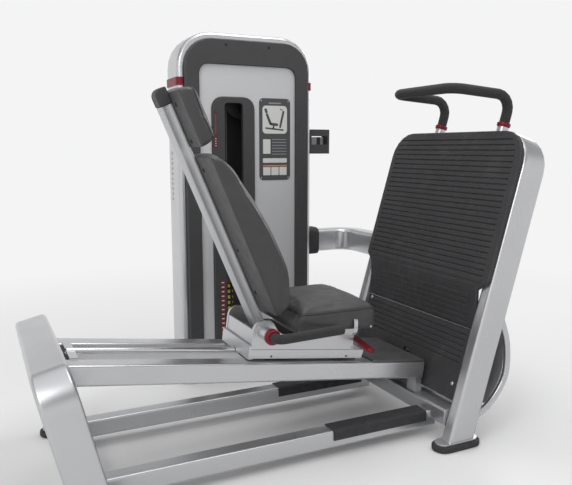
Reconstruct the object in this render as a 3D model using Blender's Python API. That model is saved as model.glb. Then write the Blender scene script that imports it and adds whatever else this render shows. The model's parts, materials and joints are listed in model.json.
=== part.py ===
"""Seated leg press machine, in metres, +Z up, +X towards the foot plate, +Y towards the weight tower.

A seat carriage rolls up two inclined rails, away from a fixed foot plate. A cable runs from the carriage
round pulleys in the foot-plate arch and the link tube to the tower, where it lifts the picked weights.
"""

import math

import bmesh
import bpy
from mathutils import Matrix, Vector

# Clearances
GAP = 0.0003
CABLE_GAP = 0.0008

# Rails: two beams and a guide rod, rising away from the foot plate
RAIL_TILT = math.radians(7.74)
RAIL_LOW_X = 1.46
RAIL_LOW_Z = 0.250
RAIL_LENGTH = 1.300
BEAM_WIDTH = 0.070
BEAM_HEIGHT = 0.065
BEAM_SPREAD = 0.246
BEAM_ROUND = 0.008
BEAM_FRONT = 0.026
GUIDE_ROD_RADIUS = 0.010
ROD_BRACKET_LENGTH = 0.026
ROD_BRACKET_LOW = 0.035
ROD_BRACKET_HIGH = 0.004
DECK_LENGTH = 0.205
DECK_THICKNESS = 0.006

# Arches that carry the rails and the foot plate
ARCH_SPREAD = 0.770
ARCH_WALL = 0.050
ARCH_EDGE = 0.012
REAR_LEAN = math.radians(13.5)
REAR_X = 0.257
REAR_HEIGHT = 0.474
REAR_WIDTH = 0.104
REAR_BEND = 0.105
FOOT_LEAN = math.radians(16.2)
FOOT_X = 1.474
FOOT_HEIGHT = 1.132
FOOT_WIDTH = 0.105
FOOT_BEND = 0.130
CROSS_BAR = 0.040
LOW_BAR_UP = 0.118
LOW_BAR_BACK = 0.022
GUSSET_HEIGHT = 0.112
GUSSET_THICKNESS = 0.013
GUSSET_PROUD = 0.001

# Feet and floor frame
PAD_HEIGHT = 0.022
PAD_LENGTH = 0.190
PAD_WIDTH = 0.078
SOLE_THICKNESS = 0.006
SOLE_MARGIN = 0.010
FLOOR_TUBE = 0.060
FLOOR_TUBE_TOP = 0.095
FLOOR_TUBE_SPREAD = 0.438
CROSS_TUBE_TOP = 0.130
TREAD_LENGTH = 0.385
TREAD_THICKNESS = 0.004
TREAD_DROP = 0.034

# Foot plates
PLATE_THICKNESS = 0.018
PLATE_INSET = 0.007
PLATE_WIDTH = ARCH_SPREAD - 2 * PLATE_INSET
PLATE_NECK_CLEARANCE = 0.0005
PLATE_NECK_WIDTH = ARCH_SPREAD - 2 * (ARCH_WALL + PLATE_NECK_CLEARANCE)
PLATE_NECK_TOP = 0.585
PLATE_BEND = 0.553
PLATE_RECESS = 0.042
PLATE_SPLIT = 0.412
PLATE_SPLIT_GAP = 0.0025
PLATE_BOTTOM = 0.148
PLATE_CORNER = 0.105
CABLE_SLOT = 0.036
RIB_PITCH = 0.0205
RIB_GROOVE = 0.009
RIB_DEPTH = 0.004
RIM = 0.030

# Grab handle above the foot plate
HANDLE_RADIUS = 0.019
HANDLE_SPREAD = 0.360
HANDLE_RISE = 0.122
HANDLE_REACH = 0.275
HANDLE_CLIMB = 0.020
HANDLE_BEND = 0.052
SOCKET_RADIUS = 0.021
SOCKET_HEIGHT = 0.030
COLLAR_RADIUS = 0.025
COLLAR_HEIGHT = 0.018

# Guard loops and rear cover behind the foot plate
GUARD_RADIUS = 0.013
GUARD_LOW = 0.115
GUARD_HIGH = 0.475
GUARD_BULGE = 0.090
GUARD_SPREAD = ARCH_SPREAD - ARCH_WALL
COVER_THICKNESS = 0.003

# Cable and pulleys
CABLE_RADIUS = 0.003
CABLE_DROP = 0.075
SHEAVE = 0.034
TOWER_SHEAVE = 0.045
LINK_SHEAVE = 0.028
SHEAVE_WIDTH = 0.014
SHEAVE_FLANGE = 0.0045
AXLE_RADIUS = 0.006
FORK_WALL = 0.004
CABLE_BACK = 0.026
CABLE_LEAD = 0.012

# Carriage
CARRIAGE_REAR = -0.668
CARRIAGE_FRONT = -0.232
CARRIAGE_WIDTH = 0.250
CARRIAGE_LIFT = 0.0065
CARRIAGE_HEIGHT = 0.0305
CARRIAGE_WALL = 0.012
INNER_WALL = 0.010
INNER_WALL_SPREAD = 0.178
TOP_PLATE = 0.008
REAR_PLATE = 0.008
REAR_PLATE_HEIGHT = 0.046
ROLLER_RADIUS = 0.0138
ROLLER_WIDTH = 0.013
ROLLER_INSET = 0.070
ROLLER_AXLE = 0.0035
BUSH_LENGTH = 0.036
BUSH_WIDTH = 0.056
TROLLEY_LENGTH = 0.060
TROLLEY_X = -0.500
BRACKET_WALL = 0.012
HUB_X = -0.638
HUB_Z = 0.0995
HUB_RADIUS = 0.036
SIDE_RAIL_HEIGHT = 0.051
SIDE_RAIL_END = -0.287
ANCHOR_HEIGHT = 0.064
ANCHOR_WALL = 0.008
ANCHOR_REACH = 0.118

# Back rest, measured along and square to its leaning tube
BACK_LEAN = math.radians(22.9)
BACK_X = 0.881
BACK_Z = 0.462
BACK_TUBE_DEPTH = 0.043
BACK_TUBE_WIDTH = 0.050
BACK_TUBE_FOOT = -0.160
BACK_TUBE_TOP = 0.780
BACK_GROOVE = 0.003
BACK_PAD_LOW = 0.030
BACK_PAD_HIGH = 0.600
BACK_PAD_WIDTH = 0.385
BACK_PAD_FOOT_DEPTH = 0.080
BACK_PAD_LUMBAR_DEPTH = 0.120
BACK_PAD_TOP_DEPTH = 0.042
HEAD_PAD_LOW = 0.626
HEAD_PAD_HIGH = 0.818
HEAD_PAD_WIDTH = 0.300
HEAD_PAD_DEPTH = 0.070
HEAD_BRACKET_WIDTH = 0.056
HEAD_BRACKET_HEIGHT = 0.055

# Seat
SEAT_FRONT = 1.249
SEAT_BACK = 0.936
SEAT_WIDTH = 0.390
SEAT_LOW = 0.4225
SEAT_THICKNESS = 0.098
SEAT_TILT = math.radians(4.0)

# Side handles of the seat
GRIP_RADIUS = 0.016
GRIP_LENGTH = 0.240
GRIP_RISE = 0.03672
GRIP_SPLAY = 0.006
GRIP_BEND = 0.030
RING_RADIUS = 0.027
RING_LENGTH = 0.022
STUB_LENGTH = 0.062
BOSS_RADIUS = 0.016
BOSS_LENGTH = 0.016

# Seat lever
LEVER_Y = -0.095
LEVER_Z = 0.078
LEVER_REACH = 0.142
LEVER_WIDTH = 0.028
LEVER_THICKNESS = 0.012
LEVER_DROOP = math.radians(8.5)
LEVER_SHAFT = 0.005
FLANGE_THICKNESS = 0.010
FLANGE_LOW = 0.050
LEVER_X = SIDE_RAIL_END - 0.001 + FLANGE_THICKNESS + GAP

# Tower
TOWER_X = 1.104
TOWER_WIDTH = 0.628
TOWER_FRONT = 0.635
TOWER_DEPTH = 0.163
TOWER_HEIGHT = 1.525
TOWER_WALL = 0.040
TOWER_BEND = 0.150
TOWER_EDGE = 0.016
TOWER_FOOT = 0.022
TRIM_DROP = 0.225
TRIM_LOW = TOWER_HEIGHT - TRIM_DROP
TRIM_HEIGHT = 0.034
TRIM_PROUD = 0.004
BASE_HEIGHT = 0.050
SHROUD_INSET = 0.025
SHROUD_WIDTH = TOWER_WIDTH - 2 * SHROUD_INSET
SHROUD_DROP = 0.028
SHROUD_TOP = TOWER_HEIGHT - SHROUD_DROP
SHROUD_BEND = 0.122
SHROUD_THICKNESS = 0.022
SHROUD_SIDE = 0.063
PANEL_WIDTH = SHROUD_WIDTH - 2 * SHROUD_SIDE
PANEL_DROP = 0.104
PANEL_TOP = SHROUD_TOP - PANEL_DROP
PANEL_LOW = 0.120
PANEL_CORNER = 0.045
PANEL_THICKNESS = 0.006
BEZEL_X = 1.031
BEZEL_WIDTH = 0.196
BEZEL_DROP = 0.135
BEZEL_TOP = PANEL_TOP - BEZEL_DROP
BEZEL_LOW = 0.135
BEZEL_CORNER = 0.050
SLOT_WIDTH = 0.084
SLOT_DROP = 0.026
SLOT_TOP = BEZEL_TOP - SLOT_DROP
SLOT_CORNER = 0.014
REAR_COVER_THICKNESS = 0.004
HOLDER_SIZE = 0.112
HOLDER_DEPTH = 0.060
HOLDER_Z = 1.070

# Weight stack
STACK_Y = 0.715
STACK_LOW = TOWER_FOOT + BASE_HEIGHT + 3 * GAP
PLATE_COUNT = 14
WEIGHT_WIDTH = 0.270
WEIGHT_DEPTH = 0.100
WEIGHT_PITCH = 0.0258
WEIGHT_GAP = 0.0010
STACK_ROD_RADIUS = 0.011
STACK_ROD_SPREAD = 0.190
STACK_ROD_BACK = 0.030
BORE_PLAY = 0.0015
SELECTOR_RADIUS = 0.012
HEAD_HEIGHT = 0.034
EYE_HEIGHT = 0.016
PIN_RADIUS = 0.004
PIN_KNOB = 0.013
TOP_BAR_DROP = 0.187
TOP_BAR_Z = TOWER_HEIGHT - TOP_BAR_DROP
TOP_BAR_HEIGHT = 0.030
TOP_SHEAVE = 0.077
WEIGHT_GROOVE = 0.008

# Link tube between the tower and the foot-plate arch
LINK_Z = 0.598
LINK_WIDTH = 0.080
LINK_HEIGHT = 0.104
LINK_WALL = 0.003
LINK_BEND = 0.100
LINK_CORNER = 0.015
CABLE_HOLE = 0.012
BOOT_LENGTH = 0.062
BOOT_WALL = 0.012

# Facets
ARC_STEPS = 5
ROUND_SIDES = 16
CABLE_SIDES = 6

SILVER = ((0.50, 0.51, 0.52), 0.32, 0.9)
CHROME = ((0.68, 0.69, 0.70), 0.12, 1.0)
STEEL = ((0.30, 0.31, 0.32), 0.40, 0.9)
BLACK = ((0.030, 0.030, 0.032), 0.60, 0.0)
RUBBER = ((0.022, 0.022, 0.023), 0.85, 0.0)
DARK_PLASTIC = ((0.055, 0.056, 0.058), 0.55, 0.0)
PANEL_GREY = ((0.46, 0.47, 0.48), 0.45, 0.1)
UPHOLSTERY = ((0.050, 0.050, 0.052), 0.70, 0.0)
RED = ((0.220, 0.010, 0.022), 0.35, 0.2)
CAST = ((0.060, 0.060, 0.062), 0.55, 0.4)

# Frames of reference of the leaning parts
RAIL = Matrix.Translation((RAIL_LOW_X, 0, RAIL_LOW_Z)) @ Matrix.Rotation(RAIL_TILT, 4, "Y")
FOOT = Matrix.Translation((FOOT_X, 0, 0)) @ Matrix.Rotation(FOOT_LEAN, 4, "Y")
REAR = Matrix.Translation((REAR_X, 0, 0)) @ Matrix.Rotation(-REAR_LEAN, 4, "Y")
BACK = Matrix.Translation((BACK_X, 0, BACK_Z)) @ Matrix.Rotation(-BACK_LEAN, 4, "Y")

# An outline drawn in (a, b) and extruded along c, turned to lie in a plane of the part
FACING_X = Matrix(((0, 0, 1, 0), (1, 0, 0, 0), (0, 1, 0, 0), (0, 0, 0, 1)))
FACING_Y = Matrix(((1, 0, 0, 0), (0, 0, -1, 0), (0, 1, 0, 0), (0, 0, 0, 1)))


def at(x, y, z):
    return Matrix.Translation((x, y, z))


def moved(shape, matrix):
    shape.transform(matrix)
    return shape


def outline(corners, inset=0.0, steps=ARC_STEPS):
    """Points of a counter-clockwise polygon of (a, b, radius) corners, drawn in by inset."""
    spots = [Vector(corner[:2]) for corner in corners]
    points = []
    for index, here in enumerate(spots):
        back = (spots[index - 1] - here).normalized()
        ahead = (spots[(index + 1) % len(spots)] - here).normalized()
        convex = ahead.x * back.y - ahead.y * back.x > 0
        half = math.acos(max(-1.0, min(1.0, back.dot(ahead)))) / 2
        inward = (back + ahead).normalized()
        side = 1 if convex else -1
        corner = here + inward * (side * inset / math.sin(half))
        radius = corners[index][2]
        if radius == 0:
            points.append(corner)
            continue
        radius = max(radius - side * inset, 0.0006)
        centre = corner + inward * (radius / math.sin(half))
        start = corner + back * (radius / math.tan(half)) - centre
        sweep = (math.pi - 2 * half) * side
        for step in range(steps + 1):
            turn = Matrix.Rotation(sweep * step / steps, 2)
            points.append(centre + turn @ start)
    return points


def rectangle(width, height, radius, a=0.0, b=0.0):
    """Corners of a rounded rectangle centred on (a, b)."""
    w, h = width / 2, height / 2
    return [(a - w, b - h, radius), (a + w, b - h, radius), (a + w, b + h, radius), (a - w, b + h, radius)]


def arch(spread, height, wall, bend, foot=0.0):
    """Corners of an upside-down U that stands on foot."""
    w = spread / 2
    inner = w - wall
    bore = bend - wall if bend > wall + 0.01 else 0.01
    return [
        (-w, foot, 0), (-inner, foot, 0), (-inner, height - wall, bore), (inner, height - wall, bore),
        (inner, foot, 0), (w, foot, 0), (w, height, bend), (-w, height, bend),
    ]


def skin(loops, ring=False):
    """Closed body through loops of points: capped at both ends, or joined end to end."""
    shape = bmesh.new()
    rows = [[shape.verts.new((*point, 0) if len(point) == 2 else point) for point in loop] for loop in loops]
    count = len(rows[0])
    pairs = list(zip(rows, rows[1:]))
    if ring:
        pairs.append((rows[-1], rows[0]))
    for low, high in pairs:
        for index in range(count):
            after = (index + 1) % count
            shape.faces.new((low[index], low[after], high[after], high[index]))
    if not ring:
        shape.faces.new(rows[0][::-1])
        shape.faces.new(rows[-1])
    bmesh.ops.recalc_face_normals(shape, faces=shape.faces)
    return shape


def plate(corners, low, high, fillet=0.0, steps=ARC_STEPS, rounds=2):
    """Outline extruded from low to high, with both rims rounded by fillet."""
    if not fillet:
        flat = outline(corners, 0, steps)
        return skin([[(*p, low) for p in flat], [(*p, high) for p in flat]])
    loops = []
    for step in range(rounds + 1):
        angle = math.pi / 2 * step / rounds
        rim = outline(corners, fillet * (1 - math.sin(angle)), steps)
        loops.append([(*p, low + fillet * (1 - math.cos(angle))) for p in rim])
    for step in range(rounds, -1, -1):
        angle = math.pi / 2 * step / rounds
        rim = outline(corners, fillet * (1 - math.sin(angle)), steps)
        loops.append([(*p, high - fillet * (1 - math.cos(angle))) for p in rim])
    return skin(loops)


def block(x, y, z, radius=0.0):
    """Box between pairs of limits, with its upright edges rounded."""
    corners = rectangle(x[1] - x[0], y[1] - y[0], radius, (x[0] + x[1]) / 2, (y[0] + y[1]) / 2)
    return plate(corners, z[0], z[1], 0, 3)


def turned(profile, sides=ROUND_SIDES):
    """Solid of revolution about Z: profile is (radius, height) from axis to axis, or a closed ring."""
    shape = bmesh.new()
    rows = []
    for radius, height in profile:
        if radius == 0:
            rows.append([shape.verts.new((0, 0, height))])
            continue
        angles = [2 * math.pi * step / sides for step in range(sides)]
        rows.append([shape.verts.new((radius * math.cos(a), radius * math.sin(a), height)) for a in angles])
    pairs = list(zip(rows, rows[1:]))
    if profile[0][0] and profile[-1][0]:
        pairs.append((rows[-1], rows[0]))
    for low, high in pairs:
        for step in range(sides):
            after = (step + 1) % sides
            corner = [low[step % len(low)], low[after % len(low)], high[after % len(high)], high[step % len(high)]]
            shape.faces.new(list(dict.fromkeys(corner)))
    bmesh.ops.recalc_face_normals(shape, faces=shape.faces)
    return shape


def rod(radius, low, high, sides=ROUND_SIDES):
    return turned([(0, low), (radius, low), (radius, high), (0, high)], sides)


def rounded_path(points, bend, steps=ARC_STEPS):
    """Points of a path whose inner corners are arcs of radius bend."""
    points = [Vector(point) for point in points]
    path = [points[0]]
    for before, here, after in zip(points, points[1:], points[2:]):
        back = (before - here).normalized()
        ahead = (after - here).normalized()
        half = back.angle(ahead) / 2
        centre = here + (back + ahead).normalized() * (bend / math.sin(half))
        start = here + back * (bend / math.tan(half)) - centre
        axis = back.cross(ahead)
        sweep = math.pi - 2 * half
        for step in range(steps + 1):
            path.append(centre + Matrix.Rotation(-sweep * step / steps, 3, axis) @ start)
    path.append(points[-1])
    return path


def rings_along(path, profile, up):
    """Copies of a (side, up) profile square to a path, carried along it without twist."""
    loops = []
    lift = Vector(up)
    for index, point in enumerate(path):
        ahead = path[min(index + 1, len(path) - 1)] - point
        behind = point - path[max(index - 1, 0)]
        along = (ahead.normalized() if ahead.length else behind.normalized())
        along = (along + (behind.normalized() if behind.length else along)).normalized()
        lift = (lift - along * lift.dot(along)).normalized()
        side = along.cross(lift)
        stretch = 1.0
        if ahead.length and behind.length:
            stretch = 1 / max(0.7, math.cos(ahead.angle(behind) / 2))
        bend = (ahead.normalized() - behind.normalized()) if ahead.length and behind.length else Vector()
        across = bend.normalized() if bend.length > 1e-6 else None
        loop = []
        for a, b in profile:
            offset = side * a + lift * b
            if across is not None:
                offset += across * (offset.dot(across) * (stretch - 1))
            loop.append(point + offset)
        loops.append(loop)
    return loops


def tube(path, profile, up=(0, 0, 1)):
    return skin(rings_along(path, profile, up))


def hollow_tube(path, outer, inner, up=(0, 0, 1)):
    loops = rings_along(path, outer, up)
    return skin(loops + rings_along(path, inner, up)[::-1], ring=True)


def circle(radius, sides):
    angles = [2 * math.pi * (step + 0.5) / sides for step in range(sides)]
    return [(radius * math.cos(angle), radius * math.sin(angle)) for angle in angles]


def together(*shapes):
    """One mesh holding several separate bodies."""
    whole = bmesh.new()
    for shape in shapes:
        mesh = bpy.data.meshes.new("piece")
        shape.to_mesh(mesh)
        whole.from_mesh(mesh)
        bpy.data.meshes.remove(mesh)
        shape.free()
    return whole


def combine(first, second, operation):
    """Boolean of two closed shapes."""
    solids = []
    for shape in (first, second):
        mesh = bpy.data.meshes.new("piece")
        shape.to_mesh(mesh)
        shape.free()
        solid = bpy.data.objects.new("piece", mesh)
        bpy.context.collection.objects.link(solid)
        solids.append(solid)
    modifier = solids[0].modifiers.new("cut", "BOOLEAN")
    modifier.operation = operation
    modifier.solver = "EXACT"
    modifier.object = solids[1]
    graph = bpy.context.evaluated_depsgraph_get()
    mesh = bpy.data.meshes.new_from_object(solids[0].evaluated_get(graph))
    result = bmesh.new()
    result.from_mesh(mesh)
    bpy.data.meshes.remove(mesh)
    for solid in solids:
        old = solid.data
        bpy.data.objects.remove(solid)
        bpy.data.meshes.remove(old)
    bmesh.ops.remove_doubles(result, verts=result.verts, dist=1e-6)
    bmesh.ops.dissolve_degenerate(result, dist=1e-6, edges=result.edges)
    return result


def joined(*shapes):
    whole = shapes[0]
    for shape in shapes[1:]:
        whole = combine(whole, shape, "UNION")
    return whole


def cut(shape, *tools):
    for tool in tools:
        shape = combine(shape, tool, "DIFFERENCE")
    return shape


def finish(name, colour, roughness, metallic):
    material = bpy.data.materials.new(name + "_finish")
    material.use_nodes = True
    shader = material.node_tree.nodes["Principled BSDF"]
    shader.inputs["Base Color"].default_value = (*colour, 1)
    shader.inputs["Roughness"].default_value = roughness
    shader.inputs["Metallic"].default_value = metallic
    material.diffuse_color = (*colour, 1)
    return material


def empty(name, matrix, parent=None):
    """Reference frame that pieces hang on."""
    frame = bpy.data.objects.new(name, None)
    bpy.context.collection.objects.link(frame)
    frame.parent = parent
    if parent:
        frame.matrix_parent_inverse = parent.matrix_world.inverted()
    frame.matrix_basis = matrix
    bpy.context.view_layer.update()
    return frame


def add(name, shape, look, parent, frame=None):
    """Piece modelled in frame, hung on parent."""
    mesh = bpy.data.meshes.new(name)
    shape.to_mesh(mesh)
    shape.free()
    mesh.shade_smooth()
    mesh.set_sharp_from_angle(angle=math.radians(32))
    piece = bpy.data.objects.new(name, mesh)
    bpy.context.collection.objects.link(piece)
    piece.parent = parent
    piece.matrix_parent_inverse = parent.matrix_world.inverted()
    piece.matrix_basis = frame if frame else Matrix()
    mesh.materials.append(finish(name, *look))
    return piece


def clear_scene():
    for thing in list(bpy.data.objects):
        bpy.data.objects.remove(thing)


def arch_foot(shape, sole_centre, top):
    """Trims leaning legs at the sole plates and joins the soles on."""
    reach = 2.0
    ground = block((-reach, reach), (-reach, reach), (-reach, top - SOLE_THICKNESS / 2))
    shape = cut(shape, ground)
    for side in (-1, 1):
        y = side * (ARCH_SPREAD - ARCH_WALL) / 2
        sole = plate(
            rectangle(PAD_LENGTH - 2 * SOLE_MARGIN, PAD_WIDTH - 2 * SOLE_MARGIN,
                      PAD_WIDTH / 2 - SOLE_MARGIN - 0.001, sole_centre, y),
            top - SOLE_THICKNESS, top, 0)
        shape = joined(shape, sole)
    return shape


def rear_arch(root):
    frame = plate(arch(ARCH_SPREAD, REAR_HEIGHT, ARCH_WALL, REAR_BEND, -0.02),
                  -REAR_WIDTH / 2, REAR_WIDTH / 2, ARCH_EDGE, 6)
    frame.transform(FACING_X)
    half = (BEAM_SPREAD + BEAM_WIDTH) / 2 + 0.006
    front = REAR_WIDTH / 2 + GUSSET_PROUD
    top = REAR_HEIGHT - 0.014
    gusset = block((front - GUSSET_THICKNESS, front), (-half, half), (top - GUSSET_HEIGHT, top))
    frame = moved(joined(frame, gusset), REAR)
    sole_top = PAD_HEIGHT + GAP + SOLE_THICKNESS
    add("rear_arch", arch_foot(frame, REAR_X, sole_top), SILVER, root)


def foot_arch(root):
    frame = plate(arch(ARCH_SPREAD, FOOT_HEIGHT, ARCH_WALL, FOOT_BEND, -0.05),
                  -FOOT_WIDTH / 2, FOOT_WIDTH / 2, ARCH_EDGE, 6)
    frame.transform(FACING_X)
    reach = ARCH_SPREAD / 2 - ARCH_WALL / 2
    low_bar = block((LOW_BAR_BACK - CROSS_BAR / 2, LOW_BAR_BACK + CROSS_BAR / 2), (-reach, reach),
                    (LOW_BAR_UP - CROSS_BAR / 2, LOW_BAR_UP + CROSS_BAR / 2))
    arch_pulley_z = cable_height_on_arch() - SHEAVE
    high_bar = block((-FOOT_WIDTH / 2 + 0.006, CABLE_BACK - SHEAVE_WIDTH - 0.014), (-reach, reach),
                     (arch_pulley_z - CROSS_BAR / 2, arch_pulley_z + CROSS_BAR / 2))
    frame = joined(frame, low_bar, high_bar)
    sockets = []
    for side in (-1, 1):
        socket = rod(SOCKET_RADIUS, FOOT_HEIGHT - 0.004, FOOT_HEIGHT + SOCKET_HEIGHT)
        sockets.append(moved(socket, at(0, side * HANDLE_SPREAD / 2, 0)))
    frame = joined(frame, *sockets)
    hole = rod(CABLE_HOLE, ARCH_SPREAD / 2 - ARCH_WALL - 0.02, ARCH_SPREAD / 2 + 0.02)
    hole.transform(at(CABLE_BACK, 0, cable_height_on_arch()) @ Matrix.Rotation(-math.pi / 2, 4, "X"))
    frame = cut(frame, hole)
    frame.transform(FOOT)
    frame = joined(frame, rail_fork())
    sole_top = PAD_HEIGHT + GAP + SOLE_THICKNESS
    add("foot_arch", arch_foot(frame, FOOT_X, sole_top), SILVER, root)


def cable_height_on_arch():
    """Distance up the foot arch at which the cable leaves through the far leg, level with the link tube."""
    return (LINK_Z + CABLE_BACK * math.sin(FOOT_LEAN)) / math.cos(FOOT_LEAN)


def floor_frame(root):
    half = FLOOR_TUBE / 2
    reach = ARCH_SPREAD / 2 - ARCH_WALL - GAP
    front_x = FOOT_X - 0.004
    rear_x = REAR_X + 0.004
    section = rectangle(FLOOR_TUBE, FLOOR_TUBE, 0.008)
    front = moved(plate(section, -reach, reach, 0, 3), at(front_x, 0, CROSS_TUBE_TOP - half) @ FACING_Y)
    rear = moved(plate(section, -reach, reach, 0, 3), at(rear_x, 0, FLOOR_TUBE_TOP - half) @ FACING_Y)
    whole = joined(front, rear)
    for side in (-1, 1):
        y = side * FLOOR_TUBE_SPREAD / 2
        long_tube = plate(section, rear_x, front_x, 0, 3)
        whole = joined(whole, moved(long_tube, at(0, y, FLOOR_TUBE_TOP - half) @ FACING_X))
        post_y = side * BEAM_SPREAD / 2
        post = block((front_x - 0.018, front_x + 0.012), (post_y - 0.025, post_y + 0.025),
                     (CROSS_TUBE_TOP - 0.01, RAIL_LOW_Z))
        beams = moved(block((-1, 1), (-1, 1), (-BEAM_HEIGHT - GAP, 1)), RAIL)
        whole = joined(whole, cut(post, beams))
    add("floor_frame", whole, SILVER, root)


def tread_pads(root):
    front = FOOT_X - 0.004 - FLOOR_TUBE / 2 - 0.012
    inner = FLOOR_TUBE / 2 + GAP
    outer = inner + TREAD_THICKNESS
    low = FLOOR_TUBE_TOP - TREAD_DROP
    top = FLOOR_TUBE_TOP + GAP
    channel = [
        (-outer, low, 0), (-inner, low, 0), (-inner, top, 0.008), (inner, top, 0.008), (inner, low, 0),
        (outer, low, 0), (outer, top + TREAD_THICKNESS, 0.010), (-outer, top + TREAD_THICKNESS, 0.010),
    ]
    for name, side in (("tread_pad_near", -1), ("tread_pad_far", 1)):
        pad = plate(channel, front - TREAD_LENGTH, front, 0, 3)
        add(name, moved(pad, FACING_X), RUBBER, root, at(0, side * FLOOR_TUBE_SPREAD / 2, 0))


def foot_pads(root):
    leg_y = (ARCH_SPREAD - ARCH_WALL) / 2
    oval = rectangle(PAD_LENGTH, PAD_WIDTH, PAD_WIDTH / 2 - 0.0005)
    for end, x in (("rear", REAR_X), ("front", FOOT_X)):
        for side, y in (("near", -leg_y), ("far", leg_y)):
            pad = plate(oval, 0, PAD_HEIGHT, 0.004, 4, 1)
            add(f"foot_pad_{end}_{side}", pad, RUBBER, root, at(x, y, 0))


def rail_end(height):
    """Place along the rails, at a height square to them, where they meet the rear arch."""
    face = REAR_WIDTH / 2 + GUSSET_PROUD + GAP
    start = RAIL.inverted() @ (REAR @ Vector((face, 0, 0)))
    rise = RAIL.inverted().to_3x3() @ (REAR.to_3x3() @ Vector((0, 0, 1)))
    return start.x + rise.x * (height - start.z) / rise.z


def rod_span():
    """Ends of the guide rod along the rails."""
    return rail_end(-ROD_BRACKET_LOW) + GAP, -DECK_LENGTH - 0.006


def rails(rail):
    inner = (BEAM_SPREAD - BEAM_WIDTH) / 2 + 0.002
    low, high = rod_span()
    beyond = moved(block((-1, REAR_WIDTH / 2 + GUSSET_PROUD + GAP), (-1, 1), (-1, 2)), RAIL.inverted() @ REAR)
    beams = []
    for side in (-1, 1):
        section = rectangle(BEAM_WIDTH, BEAM_HEIGHT, BEAM_ROUND, side * BEAM_SPREAD / 2, -BEAM_HEIGHT / 2)
        beams.append(moved(plate(section, -RAIL_LENGTH, BEAM_FRONT, 0, 3), FACING_X))
    saddles = []
    for x in (low, high - ROD_BRACKET_LENGTH):
        saddle = block((x, x + ROD_BRACKET_LENGTH), (-inner, inner), (-ROD_BRACKET_LOW, ROD_BRACKET_HIGH))
        saddles.append(bored(saddle, GUIDE_ROD_RADIUS + GAP))
    whole = joined(cut(together(*beams), beyond), *saddles)
    add("rail_frame", whole, SILVER, rail, RAIL.copy())
    width = BEAM_SPREAD + BEAM_WIDTH
    deck = block((-DECK_LENGTH, BEAM_FRONT), (-width / 2, width / 2), (GAP, GAP + DECK_THICKNESS), 0.006)
    add("deck_plate", deck, STEEL, rail, RAIL.copy())
    guide = moved(rod(GUIDE_ROD_RADIUS, low + 0.002, high - 0.002), Matrix.Rotation(math.pi / 2, 4, "Y"))
    add("guide_rod", guide, CHROME, rail, RAIL.copy())


def bored(body, radius):
    """Cuts the guide rod's way through a body on the rails."""
    return cut(body, moved(rod(radius, -2, 1), Matrix.Rotation(math.pi / 2, 4, "Y")))


def ribbed(corners, ribs, width):
    """Slab with a raised rim and horizontal grooves between its ribs, in (y, up, out of the face)."""
    slab = plate(corners, 0, PLATE_THICKNESS, 0.004, 5, 1)
    grooves = []
    for height in ribs:
        reach = width(height) / 2 - RIM
        low, high = height - RIB_GROOVE / 2, height + RIB_GROOVE / 2
        groove = [(low, 0.002), (high, 0.002), (high - 0.0015, -RIB_DEPTH), (low + 0.005, -RIB_DEPTH)]
        grooves.append(skin([[(y, up, PLATE_THICKNESS + out) for up, out in groove] for y in (-reach, reach)]))
    return cut(slab, together(*grooves))


def bent_back(shape):
    """Bends the slab's lower band back, from the bend down to the split between the plates."""
    everything = shape.verts[:] + shape.edges[:] + shape.faces[:]
    bmesh.ops.bisect_plane(shape, geom=everything, plane_co=(0, PLATE_BEND, 0), plane_no=(0, 1, 0))
    for point in shape.verts:
        below = max(0.0, PLATE_BEND - point.co.y) / (PLATE_BEND - PLATE_SPLIT)
        point.co.z -= PLATE_RECESS * below
    return shape


def on_arch(shape, recess):
    """Sets a slab against the front of the foot arch, drawn back by recess."""
    face = FOOT @ at(-FOOT_WIDTH / 2 - GAP + recess, 0, 0) @ FACING_X @ Matrix.Scale(-1, 4, (0, 0, 1))
    shape.transform(face)
    bmesh.ops.reverse_faces(shape, faces=shape.faces)
    return shape


def foot_plates(root):
    wide, neck = PLATE_WIDTH / 2, PLATE_NECK_WIDTH / 2
    top = FOOT_HEIGHT - 0.004
    upper = [
        (-neck, PLATE_SPLIT, 0.005), (neck, PLATE_SPLIT, 0.005), (neck, PLATE_BEND, 0.010),
        (wide, PLATE_NECK_TOP, 0.020), (wide, top, PLATE_CORNER), (-wide, top, PLATE_CORNER),
        (-wide, PLATE_NECK_TOP, 0.020), (-neck, PLATE_BEND, 0.010),
    ]

    def upper_width(height):
        over = height - (top - PLATE_CORNER)
        return 2 * wide if over < 0 else 2 * (wide - PLATE_CORNER + math.sqrt(PLATE_CORNER**2 - over**2))

    count = int((top - PLATE_NECK_TOP - RIM) / RIB_PITCH)
    ribs = [top - RIM - RIB_PITCH * (step + 0.2) for step in range(count)]
    add("foot_plate_upper", on_arch(bent_back(ribbed(upper, ribs, upper_width)), 0), BLACK, root)
    slot = CABLE_SLOT / 2
    front = -FOOT_WIDTH / 2 - PLATE_THICKNESS + PLATE_RECESS
    deck = RAIL @ Vector((BEAM_FRONT, 0, DECK_THICKNESS))
    notch = (deck.z + front * math.sin(FOOT_LEAN)) / math.cos(FOOT_LEAN)
    split = PLATE_SPLIT - PLATE_SPLIT_GAP
    lower = [
        (-neck, PLATE_BOTTOM, 0.005), (-slot, PLATE_BOTTOM, 0.005), (-slot, notch, 0.006), (slot, notch, 0.006),
        (slot, PLATE_BOTTOM, 0.005), (neck, PLATE_BOTTOM, 0.005), (neck, split, 0.005), (-neck, split, 0.005),
    ]
    count = int((split - notch - RIM) / RIB_PITCH)
    ribs = [split - RIM / 2 - RIB_PITCH * (step + 0.5) for step in range(count)]
    add("foot_plate_lower", on_arch(ribbed(lower, ribs, lambda height: 2 * neck), PLATE_RECESS), BLACK, root)


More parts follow.
